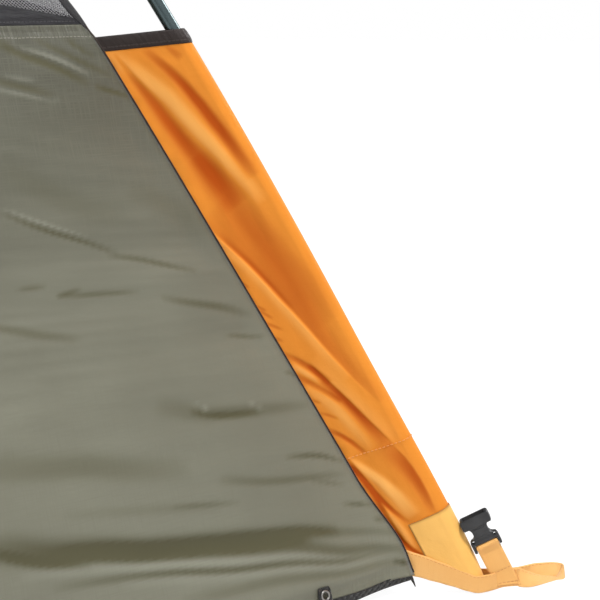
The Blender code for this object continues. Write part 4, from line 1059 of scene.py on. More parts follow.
def wrapped(corner, u, low, high, radius, seam_half, cover=1.0, lift=0.0):
    """Cloth folded round the foot of a pole: u is 0 outside the pole, and -1 and 1 at the corner seam. Low
    and high are heights at the seam and at the pole. Gives points, how far round each lies, and the painted
    tones of shade and highlight in its folds."""
    pole_out, slope = pole_at(corner, high)
    run, rise = pole_out - (seam_out(low) - SEAM_TURNED_IN), high - low
    depth = np.hypot(run, rise)
    run, rise = run / depth, rise / depth
    stretch = 1 / np.abs(run * np.sin(slope) + rise * np.cos(slope))
    turn = np.clip(u / ARC_SHARE, -1, 1) * math.pi / 2
    share = np.clip((np.abs(u) - ARC_SHARE) / (1 - ARC_SHARE), 0, 1) * cover
    slack = SLEEVE_SLACK * smooth(0.22 - high, 0.0, 0.15) * smooth(high, 0.0, 0.05)
    step = (radius + slack) * stretch * np.cos(turn) - depth * share
    out, height = pole_out + run * step, high + rise * step
    side = np.sign(u)
    aside = radius * np.sin(turn) + side * (seam_half - radius) * share
    relief, tone = sleeve_relief(corner, side, out, height, share)
    relief = np.minimum(relief, 0.0003 + 0.5 * np.maximum((1 - share) * depth - 0.006, 0.0))
    tone = tone * smooth(np.abs(u) / ARC_SHARE, 0.15, 0.85)
    thin = np.maximum(np.abs(aside) + relief, SLEEVE_SEAM_HALF + lift) - np.abs(aside)
    aside = aside + side * np.where(share > 0, thin, 0.0)
    return at_corner(corner, out, height, aside), turn * radius + side * depth * share, tone


def between(low, high, share):
    """Two heights, at the seam and at the pole, a share of the way from one pair to another."""
    return tuple(a + (b - a) * share for a, b in zip(low, high))


def sleeve_shape(corner):
    def shape(u, v, inward):
        low, high = between(SLEEVE_BOTTOM, SLEEVE_TOP, (v + 1) / 2)
        points, round_it, tone = wrapped(corner, u, low, high, SLEEVE_RADIUS - inward,
                                         SLEEVE_SEAM_HALF - inward, lift=-inward)
        return points, np.stack((round_it, high * SLEEVE_WEAVE_STRETCH), axis=1), tone
    return shape


# Painted shade and highlight: the sleeves' fold tones darken the cloth in its folds and lighten it on its
# ridges.
orange = fabric("orange nylon", tint(237, 150, 54), tint(228, 136, 44), wrinkle=0.0006, wrinkle_size=(60, 24),
                turn=0.5, sheen=0.0, painted_shade_and_highlight=(tint(188, 80, 6), tint(255, 184, 98)), gloss=0.15)
for name, corner in CORNERS.items():
    grid = (140, 335) if name == "front_right" else (90, 180)
    sleeve = cloth(f"corner_sleeve_cloth_{name}", *grid, sleeve_shape(corner), orange, SLEEVE_THIN)
    finish_cloth(sleeve, [f"corner_sleeve_{name}"], "root", "orange_cloth")

# This dark colour is used for the inner seam binding and for the cords that paint the shadow line beside each
# seam.
seam_cord = fabric("dark seam binding and shadow cord", tint(64, 50, 42), tint(44, 34, 30), pitch=0.0011, relief=0.0002)
stitch_thread = fabric("orange thread", tint(252, 186, 104), tint(206, 116, 44), pitch=0.0006, relief=0.0001)


def stitching(name, surface, raised, finish):
    """A row of stitches along points of a surface, each a short run of thread that dips into the cloth."""
    marks = lengths_along(surface)
    starts = np.arange(0.0, marks[-1] - STITCH_STEP, STITCH_STEP)
    shares, rises = zip(*STITCH_SHAPE)
    stops = (starts[:, None] + np.array(shares) * STITCH_STEP).ravel()
    heights = np.tile(rises, len(starts))
    outward = raised - surface
    outward = outward / np.linalg.norm(outward, axis=1)[:, None]
    line, away = (np.stack([np.interp(stops, marks, rows[:, axis]) for axis in range(3)], axis=1)
                  for rows in (surface, outward))
    thread = tube(name, line + away * heights[:, None], THREAD_RADIUS, finish, 0)
    finish_piece(thread, "root", "orange_webbing")


for name, corner in CORNERS.items():
    rows = np.linspace(*CORD_HEIGHTS, CORD_STEPS)
    (edge_out, edge_aside), (foot_out, foot_aside) = seam_lap(rows)
    lift = HEM_LIFT * lift_left(rows)
    # Painted shadow: a thin dark cord on each side of the seam stands for the shadow line along the wall's
    # edge.
    for part, side in (("a", 1), ("b", -1)):
        line = at_corner(corner, seam_out(rows) + edge_out + foot_out + 0.0002, rows + lift,
                         side * (CORD_RADIUS + edge_aside + foot_aside))
        cord = tube(f"corner_seam_cord_{part}_{name}", line, CORD_RADIUS, seam_cord, 1)
        finish_piece(cord, "root", "brown_binding")
    line = at_corner(corner, seam_out(rows) - INNER_BINDING_IN, rows, 0.0)
    inner_binding = tube(f"corner_inner_binding_{name}", line, INNER_BINDING_RADIUS, seam_cord, 1)
    finish_piece(inner_binding, "root", "brown_binding")
    across = np.linspace(-STITCHED_SHARE, STITCHED_SHARE, STITCH_ROW_STEPS)
    low, high = (np.full(STITCH_ROW_STEPS, height) for height in STITCHES_AT)
    surface, raised = (wrapped(corner, across, low, high, SLEEVE_RADIUS + extra, SLEEVE_SEAM_HALF + extra)[0]
                       for extra in (0.0, 0.001))
    stitching(f"sleeve_cross_stitches_{name}", surface, raised, stitch_thread)

# Sleeve mouths. A brown tape is folded over the raw upper edge of each sleeve and stitched through.
MOUTH_BOTTOM = (0.4368, 0.4438)
MOUTH_TOP = (0.4479, 0.4546)
MOUTH_PROUD = 0.0013
MOUTH_WOVEN = 0.011


def mouth_shape(corner):
    def shape(u, v, inward):
        low, high = between(MOUTH_BOTTOM, MOUTH_TOP, (v + 1) / 2)
        gathers = 0.8 + 0.12 * np.cos(math.tau * u * 17)
        swell = MOUTH_PROUD * np.sqrt(np.clip(1 - (v * 0.96) ** 2, 0, 1)) * gathers
        layer = np.where(inward == 0, swell, -swell - SLEEVE_THIN)
        points, round_it, _ = wrapped(corner, u, low, high, SLEEVE_RADIUS + layer,
                                      SLEEVE_SEAM_HALF + layer * 0.7, lift=layer)
        return points, np.stack((round_it, (v + 1) / 2 * MOUTH_WOVEN), axis=1)
    return shape


binding = fabric("brown binding", tint(54, 40, 35), tint(34, 25, 22), pitch=0.0011, relief=0.00025,
                 rows=(0.0028,), thread=tint(58, 46, 41), wrinkle=0.0006, wrinkle_size=(260, 120))
for name, corner in CORNERS.items():
    mouth = cloth(f"sleeve_mouth_binding_{name}", 130, 12, mouth_shape(corner), binding, 0.001)
    finish_cloth(mouth, [f"sleeve_mouth_{name}"], "root", "brown_binding")

# Foot patches. A second layer, of a lighter and stiffer orange cloth, is sewn over each sleeve at the foot of
# the pole, where it rubs on the ground.
PATCH_BOTTOM = (0.0330, 0.0140)
PATCH_TOP = (0.0465, 0.0695)
PATCH_COVER = 0.55
PATCH_LAYER = 0.0009
PATCH_THIN = 0.0008
PATCH_FLAT = (0.084, 0.062)


def patch_shape(corner):
    def shape(u, v, inward):
        low, high = between(PATCH_BOTTOM, PATCH_TOP, (v + 1) / 2)
        layer = PATCH_LAYER - inward
        points, round_it, _ = wrapped(corner, u, low, high, SLEEVE_RADIUS + layer, SLEEVE_SEAM_HALF + layer,
                                      PATCH_COVER, lift=layer)
        from_edge = np.minimum((1 - np.abs(u)) * PATCH_FLAT[0] / 2, (1 - v) * PATCH_FLAT[1] / 2)
        weave = np.stack((round_it, (v + 1) / 2 * PATCH_FLAT[1]), axis=1)
        # Painted shadow: the patch's tone darkens it within about 2 mm of its side and top edges, where it
        # lies on the sleeve.
        return points, weave, 1 - smooth(from_edge, 0.0002, 0.0022)
    return shape


# The first fold colour is the painted shadow along the patch's edges; the second is the cloth's own colour.
amber = fabric("amber reinforcement cloth", tint(252, 200, 110), tint(246, 186, 94), pitch=0.0009,
               relief=0.0001, wrinkle=0.0007, wrinkle_size=(70, 50),
               painted_shade_and_highlight=(tint(164, 108, 36), tint(252, 200, 110)))
for name, corner in CORNERS.items():
    patch = cloth(f"foot_patch_cloth_{name}", 80, 40, patch_shape(corner), amber, PATCH_THIN)
    finish_cloth(patch, [f"foot_patch_{name}"], "root", "orange_webbing")

# Foot webbing and peg loops. One length of woven webbing runs from each corner seam round the foot of the
# sleeve and back. Its two strands are sewn together beyond the pole, and part again to make the peg loop.
WEBBING = 0.0013
WEBBING_GAP = 0.0007
WEBBING_OFF_SEAM = 0.0012
WEBBING_SEAM = (0.0155, 0.0368)
WEBBING_FOOT = (0.0009, 0.0158)
WEBBING_END = (0.0052, 0.0205)
STEM_HALF = 0.0016
STEM_START = 0.0175
STEM_END = 0.0290
FLARE = ((0.0080, 0.0073), (0.0130, 0.0046))
HINGE_ROOM = 0.0018
LOOP_LENGTH = 0.0385
LOOP_HALF = 0.0068
LOOP_TIP_HEIGHTS = (0.0084, 0.0217)
LOOP_PARTING = ((0.010, 0.0054), (0.018, 0.0068))
WEBBING_EDGE = 0.0006
ROLLED_FROM = 0.86
TURNED_WIDTH = -0.15
TURNED_BY, TURNED_BACK = 0.030, (0.0305, 0.0390)
TIP_RAISED = 0.0062
TIP_RAISED_BY = 0.036
LOOP_BEND = 0.004
LOOP_BEND_HEIGHT = 0.013
WEBBING_FLAT = (0.274, 0.019)


def pole_foot(corner):
    """Where the pole's curve meets the ground: its distance out."""
    return float(next(pole_at(corner, 0.0)))


def rounded(points, passes):
    """A path in fine even steps with its corners eased."""
    marks = lengths_along(points)
    fine = np.linspace(0, marks[-1], 241)
    path = np.stack([np.interp(fine, marks, points[:, axis]) for axis in range(points.shape[1])], axis=1)
    for _ in range(passes):
        path[1:-1] = (path[:-2] + 2 * path[1:-1] + path[2:]) / 4
    return path


def heading_of(path, marks, at, step):
    """Which way a path of two columns runs at marks along it, as two parts of a length of 1."""
    ahead = [np.interp(at + step, marks, column) - np.interp(at - step, marks, column) for column in path.T]
    return np.array(ahead) / np.maximum(np.hypot(*ahead), 1e-9)


def rolled(share):
    """How far webbing has rolled over towards its edge, at a share of its half width."""
    return np.clip((np.abs(share) - ROLLED_FROM) / (1 - ROLLED_FROM), 0, 1) ** 2


def webbing_path(corner):
    """Rows from the seam to the tip of the loop: distance out, lower and upper height, and distance aside."""
    foot, flank_out = pole_foot(corner), next(pole_at(corner, WEBBING_FOOT[1] / 2))
    flank = SLEEVE_RADIUS + WEBBING_GAP + WEBBING
    seam_half = SLEEVE_SEAM_HALF + WEBBING_OFF_SEAM + WEBBING_GAP + WEBBING
    rows = []
    for share in (1.0, 0.75, 0.5, 0.25, 0.0):
        low, high = between(WEBBING_FOOT, WEBBING_SEAM, share)
        out = flank_out + (seam_out((low + high) / 2) + SEAM_CLEARANCE - flank_out) * share
        rows.append((out, low, high, flank + (seam_half - flank) * share))
    for step, aside in (*FLARE, (STEM_START, STEM_HALF), (STEM_END, STEM_HALF)):
        rows.append((foot + step, *between(WEBBING_FOOT, WEBBING_END, step / STEM_END), aside))
    turns = [(LOOP_LENGTH - LOOP_HALF * (1 - math.cos(turn)), LOOP_HALF * math.sin(turn))
             for turn in np.linspace(math.pi / 2, 0, 7)]
    for step, aside in (*LOOP_PARTING, *turns):
        low, high = between(WEBBING_END, LOOP_TIP_HEIGHTS, step / LOOP_LENGTH)
        rows.append((foot + STEM_END + HINGE_ROOM + step, low, high, aside))
    return np.array(rows, dtype=float)


def webbing_shape(corner):
    """Both strands of the webbing. The first, on the diagonal's positive side, turns over in the loop."""
    near = webbing_path(corner)
    rows = rounded(np.concatenate((near, near[-2::-1] * (1, 1, 1, -1))), 6)
    marks = lengths_along(rows[:, [0, 3]])

    def shape(u, v, inward):
        at = (u + 1) / 2 * marks[-1]
        out, low, high, aside = (np.interp(at, marks, column) for column in rows.T)
        ahead_out, ahead_aside = heading_of(rows[:, [0, 3]], marks, at, 0.0006)
        edge = WEBBING_EDGE * rolled(v)
        depth = np.where(inward > 0, WEBBING - edge, edge)
        step = out - pole_foot(corner) - STEM_END - HINGE_ROOM
        turned = np.clip(step / TURNED_BY, 0, 1) * (1 - smooth(step, *TURNED_BACK)) * (at < marks[-1] / 2)
        wide = high - low
        raised = TIP_RAISED * smooth(step, 0.0, TIP_RAISED_BY)
        shown = (1 - (1 - TURNED_WIDTH) * turned) * (wide - raised) / wide
        height = low + raised + wide * ((v + 1) / 2 - 0.15) * shown + 0.15 * (wide - raised)
        height = height + 0.00015 * ripple(at * 60, v * 0.3, 33)
        aside = aside - v * wide / 2 * np.sin(np.arccos(np.clip(shown, -1, 1)))
        points = at_corner(corner, out + depth * ahead_aside, height, aside - depth * ahead_out)
        return points, np.stack((at, v * WEBBING_FLAT[1] / 2), axis=1)
    return shape


webbing_finish = fabric("amber webbing", tint(253, 204, 132), tint(240, 176, 98), pitch=0.0012,
                        relief=0.00035, rows=(0.0078,), thread=tint(230, 158, 80), wrinkle=0.0005,
                        wrinkle_size=(60, 40), sheen=0.35, roughness=(0.6, 0.8))
for name, corner in CORNERS.items():
    webbing = cloth(f"foot_webbing_strands_{name}", 380, 14, webbing_shape(corner), webbing_finish, WEBBING)
    hinge = pole_foot(corner) + STEM_END + HINGE_ROOM
    ends = (at_corner(corner, hinge + way * LOOP_BEND, LOOP_BEND_HEIGHT, 0.0).tolist() for way in (-1, 1))
    finish_cloth(webbing, [f"foot_webbing_{name}", f"peg_loop_{name}"],
                 ("root", f"peg_loop_{name}", *map(tuple, ends)), "orange_webbing")

# Pole tips. A tapered plug of black plastic in each end of a pole stands on the ground inside the sleeve.
TIP_TOP_RADIUS = 0.0052
TIP_END_RADIUS = 0.0036
TIP_GROUND_CLEARANCE = 0.0004
TIP_GAP = 0.0003
CRISP_FROM = math.radians(30)


def plastic_finish(name, colour, worn):
    made, tree, shader = material(name)
    where = wire(tree, "TexCoord").outputs["Object"]
    patches = noise(tree, where, 70, detail=4)
    set_inputs(tree, shader, {
        "Base Color": blend(tree, ranged(tree, patches, 0.4, 0.72), colour, worn),
        "Roughness": ranged(tree, patches, 0.3, 0.7, 0.36, 0.52), "Specular IOR Level": 0.45,
        "Normal": bump(tree, noise(tree, where, 1600, detail=2), 0.00006)})
    return made


def bevelled(body, edges, size, segments=3):
    bmesh.ops.bevel(body, geom=edges, offset=size, segments=segments, profile=0.5, affect="EDGES",
                    material=-1)


black_plastic = plastic_finish("black plastic", tint(38, 38, 39), tint(55, 55, 56))
for name, corner in CORNERS.items():
    out, slope = map(float, pole_at(corner, POLE_END_HEIGHT))
    drop = POLE_END_HEIGHT - TIP_GROUND_CLEARANCE - TIP_END_RADIUS * math.cos(slope)
    length = drop / math.sin(slope) - TIP_GAP
    middle = TIP_GAP + length / 2
    body = bmesh.new()
    bmesh.ops.create_cone(body, cap_ends=True, segments=32, radius1=TIP_END_RADIUS, radius2=TIP_TOP_RADIUS,
                          depth=length)
    rims = [edge for edge in body.edges if any(len(face.verts) > 4 for face in edge.link_faces)]
    bevelled(body, rims, 0.0006)
    axis = Vector(at_corner(corner, -math.cos(slope), math.sin(slope), 0.0))
    place = at_corner(corner, out + middle * math.cos(slope), POLE_END_HEIGHT - middle * math.sin(slope), 0.0)
    turn = Matrix.Translation(place) @ Vector((0, 0, 1)).rotation_difference(axis).to_matrix().to_4x4()
    tip = place_body(body, f"pole_tip_plug_{name}", black_plastic, turn, CRISP_FROM)
    finish_piece(tip, "root", "black_plastic", f"pole_tip_{name}")

# Buckle straps. A short strap is sewn flat to the outer strand of the webbing, rises along the pole and is
# folded over the bar of the buckle.
STRAP_WIDTH = 0.0190
STRAP_CLOTH = 0.0011
STRAP_SLIT = 0.0002
STRAP_REACH = 0.0160
STRAP_HINGE_HEIGHT = 0.0205
STRAP_LENGTH = 0.0234
STRAP_SEWN = 0.0150
BAR_HALF = 0.0013
STRAP_BEND = math.sqrt(2) * BAR_HALF + 0.0003 + STRAP_CLOTH
STRAP_EDGE = 0.0004
STRAP_BENDS_OVER = 0.0035


def strap_frame(corner):
    """The strap's own frame: origin on its hinge line, X across it, Y through it and Z up along it."""
    lean = math.pi / 2 - float(np.interp(STRAP_HINGE_HEIGHT, LOW_ARCH[:, 1], LOW_ARCH[:, 2]))
    out, aside = pole_foot(corner) + STRAP_REACH, STEM_HALF + HINGE_ROOM + STRAP_SLIT
    origin = at_corner(corner, out, STRAP_HINGE_HEIGHT, aside)
    axes = (at_corner(corner, math.cos(lean), math.sin(lean), 0.0), at_corner(corner, 0.0, 0.0, 1.0),
            at_corner(corner, -math.sin(lean), math.cos(lean), 0.0))
    return Matrix.Translation(origin) @ Matrix([Vector(axis) for axis in axes]).transposed().to_4x4(), lean


def moved(points, matrix):
    turn = np.array(matrix)
    return points @ turn[:3, :3].T + turn[:3, 3]


def strap_shape(corner):
    turn, lean = strap_frame(corner)
    outer = [(STRAP_CLOTH + STRAP_SLIT / 2, along) for along in (-STRAP_SEWN, STRAP_LENGTH - 2 * STRAP_BEND)]
    outer += [(STRAP_BEND * math.sin(angle), STRAP_LENGTH + STRAP_BEND * math.cos(angle))
              for angle in np.linspace(math.radians(125), 0, 9)]
    outer = np.array(outer)
    rows = rounded(np.concatenate((outer, outer[-2::-1] * (-1, 1))), 3)
    marks = lengths_along(rows)

    def shape(u, v, inward):
        at = (v + 1) / 2 * marks[-1]
        aside, along = (np.interp(at, marks, column) for column in rows.T)
        ahead_aside, ahead_along = heading_of(rows, marks, at, 0.0005)
        edge = STRAP_EDGE * rolled(u)
        depth = np.where(inward > 0, STRAP_CLOTH - edge, edge)
        aside = aside - depth * ahead_along
        along = along + depth * ahead_aside
        across = u * STRAP_WIDTH / 2
        sewn = smooth(-along, -0.002, 0.006)
        slant = smooth(-along, 0.004, STRAP_SEWN) * math.tan(lean - math.radians(8))
        local = np.stack((across, aside - 0.0008 * sewn, along - slant * across), axis=1)
        return moved(local, turn), np.stack((across, at), axis=1)
    return shape


strap_finish = fabric("amber strap", tint(252, 200, 124), tint(240, 176, 98), pitch=0.0012, relief=0.00035,
                      wrinkle=0.0004, wrinkle_size=(50, 60), sheen=0.35, roughness=(0.6, 0.8),
                      rows=(0.0024, 0.0140), thread=tint(224, 150, 78))
for name, corner in CORNERS.items():
    strap = cloth(f"buckle_strap_fold_{name}", 12, 200, strap_shape(corner), strap_finish, STRAP_CLOTH)
    turn, _ = strap_frame(corner)
    ends = (tuple(turn @ Vector((0, 0, way * STRAP_BENDS_OVER))) for way in (-1, 1))
    finish_cloth(strap, [f"buckle_strap_{name}"], ("root", f"buckle_{name}", *ends), "orange_webbing")

# Buckles. The female half of a side-release buckle, moulded in black nylon: a mouth block with a slot, a
# narrow waist between the two windows for the prongs, and a foot with two eyes and a bar for the strap.
BUCKLE_HALF = 0.0125
BUCKLE_TOP = 0.0278
BUCKLE_HALF_THICK = 0.0052
MOUTH_FOOT = 0.0185
MOUTH_SLOT_DEPTH = 0.0075
WAIST_HALF = 0.0067
WAIST_HALF_THICK = 0.0040
FOOT_HALF = 0.0121
FOOT_HALF_THICK = 0.0027
FOOT_TOP = 0.0088
BAR_SLOT_TOP = 0.0033
EAR_INNER = 0.0099
EAR_END = -0.0030
EYE_AT = (0.0094, 0.0068)
EYE_RADIUS = 0.0012
BEVELLED_FROM, BLOCK_BEVELLED_FROM = 0.9, 0.6
BUCKLE_CRISP_FROM = math.radians(32)


def extruded(body, outline, low, high):
    """An outline in X and Z made solid from Y = low to Y = high."""
    face = body.faces.new([body.verts.new((x, low, z)) for x, z in outline])
    grown = bmesh.ops.extrude_face_region(body, geom=[face])["geom"]
    bmesh.ops.translate(body, vec=(0, high - low, 0), verts=verts_in(grown))


def mirrored(outline):
    return outline + [(-x, z) for x, z in reversed(outline)]


def join(target, part):
    """Adds one bmesh to another as a closed shell of its own."""
    mesh = bpy.data.meshes.new("part")
    bmesh.ops.recalc_face_normals(part, faces=part.faces[:])
    part.to_mesh(mesh)
    part.free()
    target.from_mesh(mesh)
    bpy.data.meshes.remove(mesh)


def sharp_edges(body, angle=BEVELLED_FROM):
    body.normal_update()
    return [edge for edge in body.edges if len(edge.link_faces) == 2 and edge.calc_face_angle(0.0) > angle]


def plate(outline, holes, thick):
    """A flat outline in X and Z with holes, made solid to half a thickness on each side."""
    body = bmesh.new()
    edges = []
    for ring in (outline, *holes):
        verts = [body.verts.new((x, -thick, z)) for x, z in ring]
        edges += [body.edges.new(pair) for pair in zip(verts, verts[1:] + verts[:1])]
    filled = bmesh.ops.triangle_fill(body, use_beauty=True, edges=edges)["geom"]
    faces = [part for part in filled if isinstance(part, bmesh.types.BMFace)]
    grown = bmesh.ops.extrude_face_region(body, geom=faces)["geom"]
    bmesh.ops.translate(body, vec=(0, 2 * thick, 0), verts=verts_in(grown))
    return body


def buckle_shape():
    whole, block = bmesh.new(), bmesh.new()
    half, top = BUCKLE_HALF, BUCKLE_TOP
    outline = [(half - 0.0008, MOUTH_FOOT), (half, MOUTH_FOOT + 0.0016), (half, top - 0.0026),
               (half - 0.0004, top - 0.0008), (half - 0.0018, top)]
    extruded(block, mirrored(outline), -BUCKLE_HALF_THICK, BUCKLE_HALF_THICK)
    block.normal_update()
    mouth = [face for face in block.faces if face.calc_center_median().z > top - 0.0001]
    bmesh.ops.inset_region(block, faces=mouth, thickness=0.0015)
    slot = bmesh.ops.extrude_face_region(block, geom=mouth)["geom"]
    bmesh.ops.translate(block, vec=(0, 0, -MOUTH_SLOT_DEPTH), verts=verts_in(slot))
    bmesh.ops.delete(block, geom=mouth, context="FACES_ONLY")
    bevelled(block, sharp_edges(block, BLOCK_BEVELLED_FROM), 0.0006, 2)
    join(whole, block)
    inner = WAIST_HALF
    outline = [(inner + 0.0030, FOOT_TOP - 0.0006), (inner + 0.0010, FOOT_TOP + 0.0008),
               (inner, FOOT_TOP + 0.0028), (inner, MOUTH_FOOT - 0.0030),
               (inner + 0.0008, MOUTH_FOOT - 0.0012), (inner + 0.0026, MOUTH_FOOT + 0.0006)]
    waist = plate(mirrored(outline), (), WAIST_HALF_THICK)
    bevelled(waist, sharp_edges(waist), 0.0006, 2)
    join(whole, waist)
    ear = FOOT_HALF
    eyes = [[(sign * (EYE_AT[0] + EYE_RADIUS * math.cos(turn)), EYE_AT[1] + EYE_RADIUS * math.sin(turn))
             for turn in np.linspace(0, math.tau, 16, endpoint=False)] for sign in (-1, 1)]
    outline = [(EAR_INNER, BAR_SLOT_TOP), (EAR_INNER, EAR_END), (ear - 0.0006, EAR_END),
               (ear, EAR_END + 0.0008), (ear, FOOT_TOP - 0.0026), (ear - 0.0007, FOOT_TOP - 0.0009),
               (ear - 0.0022, FOOT_TOP)]
    foot = plate(mirrored(outline), eyes, FOOT_HALF_THICK)
    bevelled(foot, sharp_edges(foot), 0.0004, 2)
    join(whole, foot)
    bar = bmesh.new()
    bmesh.ops.create_cone(bar, cap_ends=True, segments=20, radius1=BAR_HALF, radius2=BAR_HALF,
                          depth=2 * EAR_INNER + 0.001)
    bmesh.ops.rotate(bar, cent=(0, 0, 0), matrix=Matrix.Rotation(math.pi / 2, 3, "Y"), verts=bar.verts[:])
    join(whole, bar)
    for face_side in (-1, 1):
        rib = bmesh.new()
        extruded(rib, mirrored([(inner - 0.0022, FOOT_TOP + 0.0012), (inner - 0.0022, MOUTH_FOOT - 0.0022)]),
                 face_side * (WAIST_HALF_THICK - 0.0004), face_side * (WAIST_HALF_THICK + 0.0003))
        bevelled(rib, sharp_edges(rib), 0.0002, 1)
        join(whole, rib)
    return whole


for name, corner in CORNERS.items():
    turn = strap_frame(corner)[0] @ Matrix.Translation((0, 0, STRAP_LENGTH))
    buckle = place_body(buckle_shape(), f"buckle_female_{name}", black_plastic, turn, BUCKLE_CRISP_FROM)
    finish_piece(buckle, f"buckle_{name}", "black_plastic", f"buckle_{name}")

# Clips. Moulded hooks snap over the poles, and the stem of each reaches down to the corner seam. At the
# crown a post and flange hold the canopy up to where the poles cross.
CLIP_HEIGHTS = (0.74, 1.13)
CLIP_WIDTH = 0.014
CLIP_WALL = 0.0024
CLIP_STEM_HALF = 0.0018
CLIP_CLEARANCE = 0.0004
HOOK_CLEARANCE = 0.0006
HOOK_OPEN_HALF = math.radians(58)
CROWN_POST_RADIUS = 0.0065
CROWN_FLANGE_RADIUS = 0.020
CROWN_FLANGE_THICKNESS = 0.002
CROWN_GAP = 0.0003


def seam_near(out, height):
    """The place on the corner seam that is nearest to a place on the pole."""
    starts, spans = SEAM[:-1], np.diff(SEAM, axis=0)
    from_start = np.array((out, height)) - starts
    shares = np.clip(np.sum(from_start * spans, axis=1) / np.sum(spans ** 2, axis=1), 0, 1)
    feet = starts + spans * shares[:, None]
    return feet[np.argmin(np.hypot(*(feet - (out, height)).T))]


def hook_outline(depth):
    """A hook round the pole, open at its far side, with a stem of a length down to the seam."""
    inner = POLE_RADIUS + HOOK_CLEARANCE
    outer = inner + CLIP_WALL
    turns = np.linspace(math.asin(CLIP_STEM_HALF / outer), math.pi - HOOK_OPEN_HALF, 22)
    rim, bore = ([(size * math.cos(turn), size * math.sin(turn)) for turn in turns]
                 for size in (outer, inner))
    lower = [(x, -z) for x, z in rim + bore[::-1]]
    return [(depth, -CLIP_STEM_HALF)] + lower + bore[1:] + rim[::-1] + [(depth, CLIP_STEM_HALF)]


for name, corner in CORNERS.items():
    for level, height in zip(("low", "high"), CLIP_HEIGHTS):
        out, slope = map(float, pole_at(corner, height))
        depth = float(np.hypot(*(seam_near(out, height) - (out, height)))) - CLIP_CLEARANCE
        body = bmesh.new()
        extruded(body, hook_outline(depth), -CLIP_WIDTH / 2, CLIP_WIDTH / 2)
        bevelled(body, sharp_edges(body), 0.0004, 2)
        inward = Vector(at_corner(corner, -math.sin(slope), -math.cos(slope), 0.0))
        beside = Vector(at_corner(corner, 0.0, 0.0, 1.0))
        turn = Matrix.Translation(at_corner(corner, out, height, 0.0)) \
            @ Matrix((inward, -inward.cross(beside), beside)).transposed().to_4x4()
        clip = place_body(body, f"clip_hook_{level}_{name}", black_plastic, turn, CRISP_FROM)
        finish_piece(clip, "root", "black_plastic", f"clip_{level}_{name}")

body = bmesh.new()
seam_top = SEAM[-1][1]
bmesh.ops.create_cone(body, cap_ends=True, segments=48, radius1=CROWN_FLANGE_RADIUS,
                      radius2=CROWN_FLANGE_RADIUS, depth=CROWN_FLANGE_THICKNESS)
flange_middle = seam_top + CROWN_GAP + CROWN_FLANGE_THICKNESS / 2
bmesh.ops.translate(body, vec=(0, 0, flange_middle), verts=body.verts[:])
body.normal_update()
top = [face for face in body.faces if face.normal.z > 0.9]
bmesh.ops.inset_region(body, faces=top, thickness=CROWN_FLANGE_RADIUS - CROWN_POST_RADIUS)
post = bmesh.ops.extrude_face_region(body, geom=top)["geom"]
bmesh.ops.delete(body, geom=top, context="FACES_ONLY")
for vert in verts_in(post):
    vert.co.z = POLE_CROWN - POLE_RADIUS - CROWN_GAP
bevelled(body, sharp_edges(body), 0.0007)
crown_clip = place_body(body, "crown_clip_post", black_plastic, None, CRISP_FROM)
finish_piece(crown_clip, "root", "black_plastic", "crown_clip")

# Door. An arched panel fills the doorway: olive nylon below, a charcoal strip that carries on the band, and
# netting above. It is sewn along its sill and zipped round the arch.
DOOR_GAP = 0.0006
DOOR_CLOTH = 0.0006
DOOR_TOP_GAP = 0.0008
DOOR_WAVES, DOOR_RIPPLES = 0.0016, 0.0007
SILL_BEND = (0.0012, 0.0150)
DOOR_LOW = float(length_at(DOOR_SILL + DOOR_GAP))


def door_shape(low, high, seed):
    """Part of the door between two levels, each a function of the share of the front's half width."""
    def shape(u, v, inward):
        across = np.zeros(len(u))
        length = np.full(len(u), DOOR_LOW)
        for _ in range(8):
            share = across / side_half("front", height_at(length))
            bottom, top = low(share), high(share)
            length = bottom + (top - bottom) * (v + 1) / 2
            across = u * door_edge(height_at(length), -DOOR_GAP)
        half = side_half("front", height_at(length))
        edges = smooth((1 - np.abs(u)) * DOOR_HALF_WIDTH, 0.0, 0.02) * smooth(1 - np.abs(v), 0.0, 0.1)
        waves, creases = ripple(across * 4, length * 14, seed), ripple(across * 9, length * 36, seed + 1)
        relief = (DOOR_WAVES * waves + DOOR_RIPPLES * creases) * edges
        points, across = panel("front", across / half, length, inward - relief)
        return points, np.stack((across, length), axis=1)
    return shape


def band_foot(share):
    return np.full(np.shape(share), WALL_HIGH)


def door_foot(share):
    return np.full(np.shape(share), DOOR_LOW)


def door_top(share):
    return np.full(np.shape(share), float(length_at(DOOR_TOP - DOOR_TOP_GAP)))


sill_lengths = length_at(np.array((DOOR_SILL + SILL_BEND[0], DOOR_SILL + SILL_BEND[1])))
over_sill = panel("front", np.zeros(2), sill_lengths, np.zeros(2))[0].tolist()
for part, grid, low, high, finish, slot, nodes, flat, area in (
        ("cloth", (150, 130), door_foot, band_foot, olive, "olive_cloth", ["door_panel"], (0.84, 0.309),
         0.256),
        ("band", (120, 26), band_foot, band_top, charcoal, "charcoal_cloth", [], (0.83, 0.119), 0.082),
        ("net", (100, 60), band_top, door_top, netting, "mesh_cloth", [], (0.80, 0.60), 0.41)):
    door = cloth(f"door_{part}", *grid, door_shape(low, high, 120 + len(part)), finish, DOOR_CLOTH)
    body = ("root", "door", *map(tuple, over_sill)) if part == "cloth" else "door"
    finish_cloth(door, nodes, body, slot)

# Zip. A brown tape is sewn round the doorway, with a spiral of coil teeth between it and the door, and a
# slider with a cord pull stands at the foot of the arch on the right.
ZIP_TAPE_CLOTH = 0.0009
COIL_RADIUS = 0.0014
COIL_PITCH = 0.0025
COIL_WIRE = 0.00055
COIL_SIDES = 6
ZIP_LENGTH = 2.62
SLIDER_AT = 0.016
SLIDER = (0.0074, 0.0044, 0.0100)
SLIDER_PROUD = 0.0016
PULL_LENGTH = 0.034


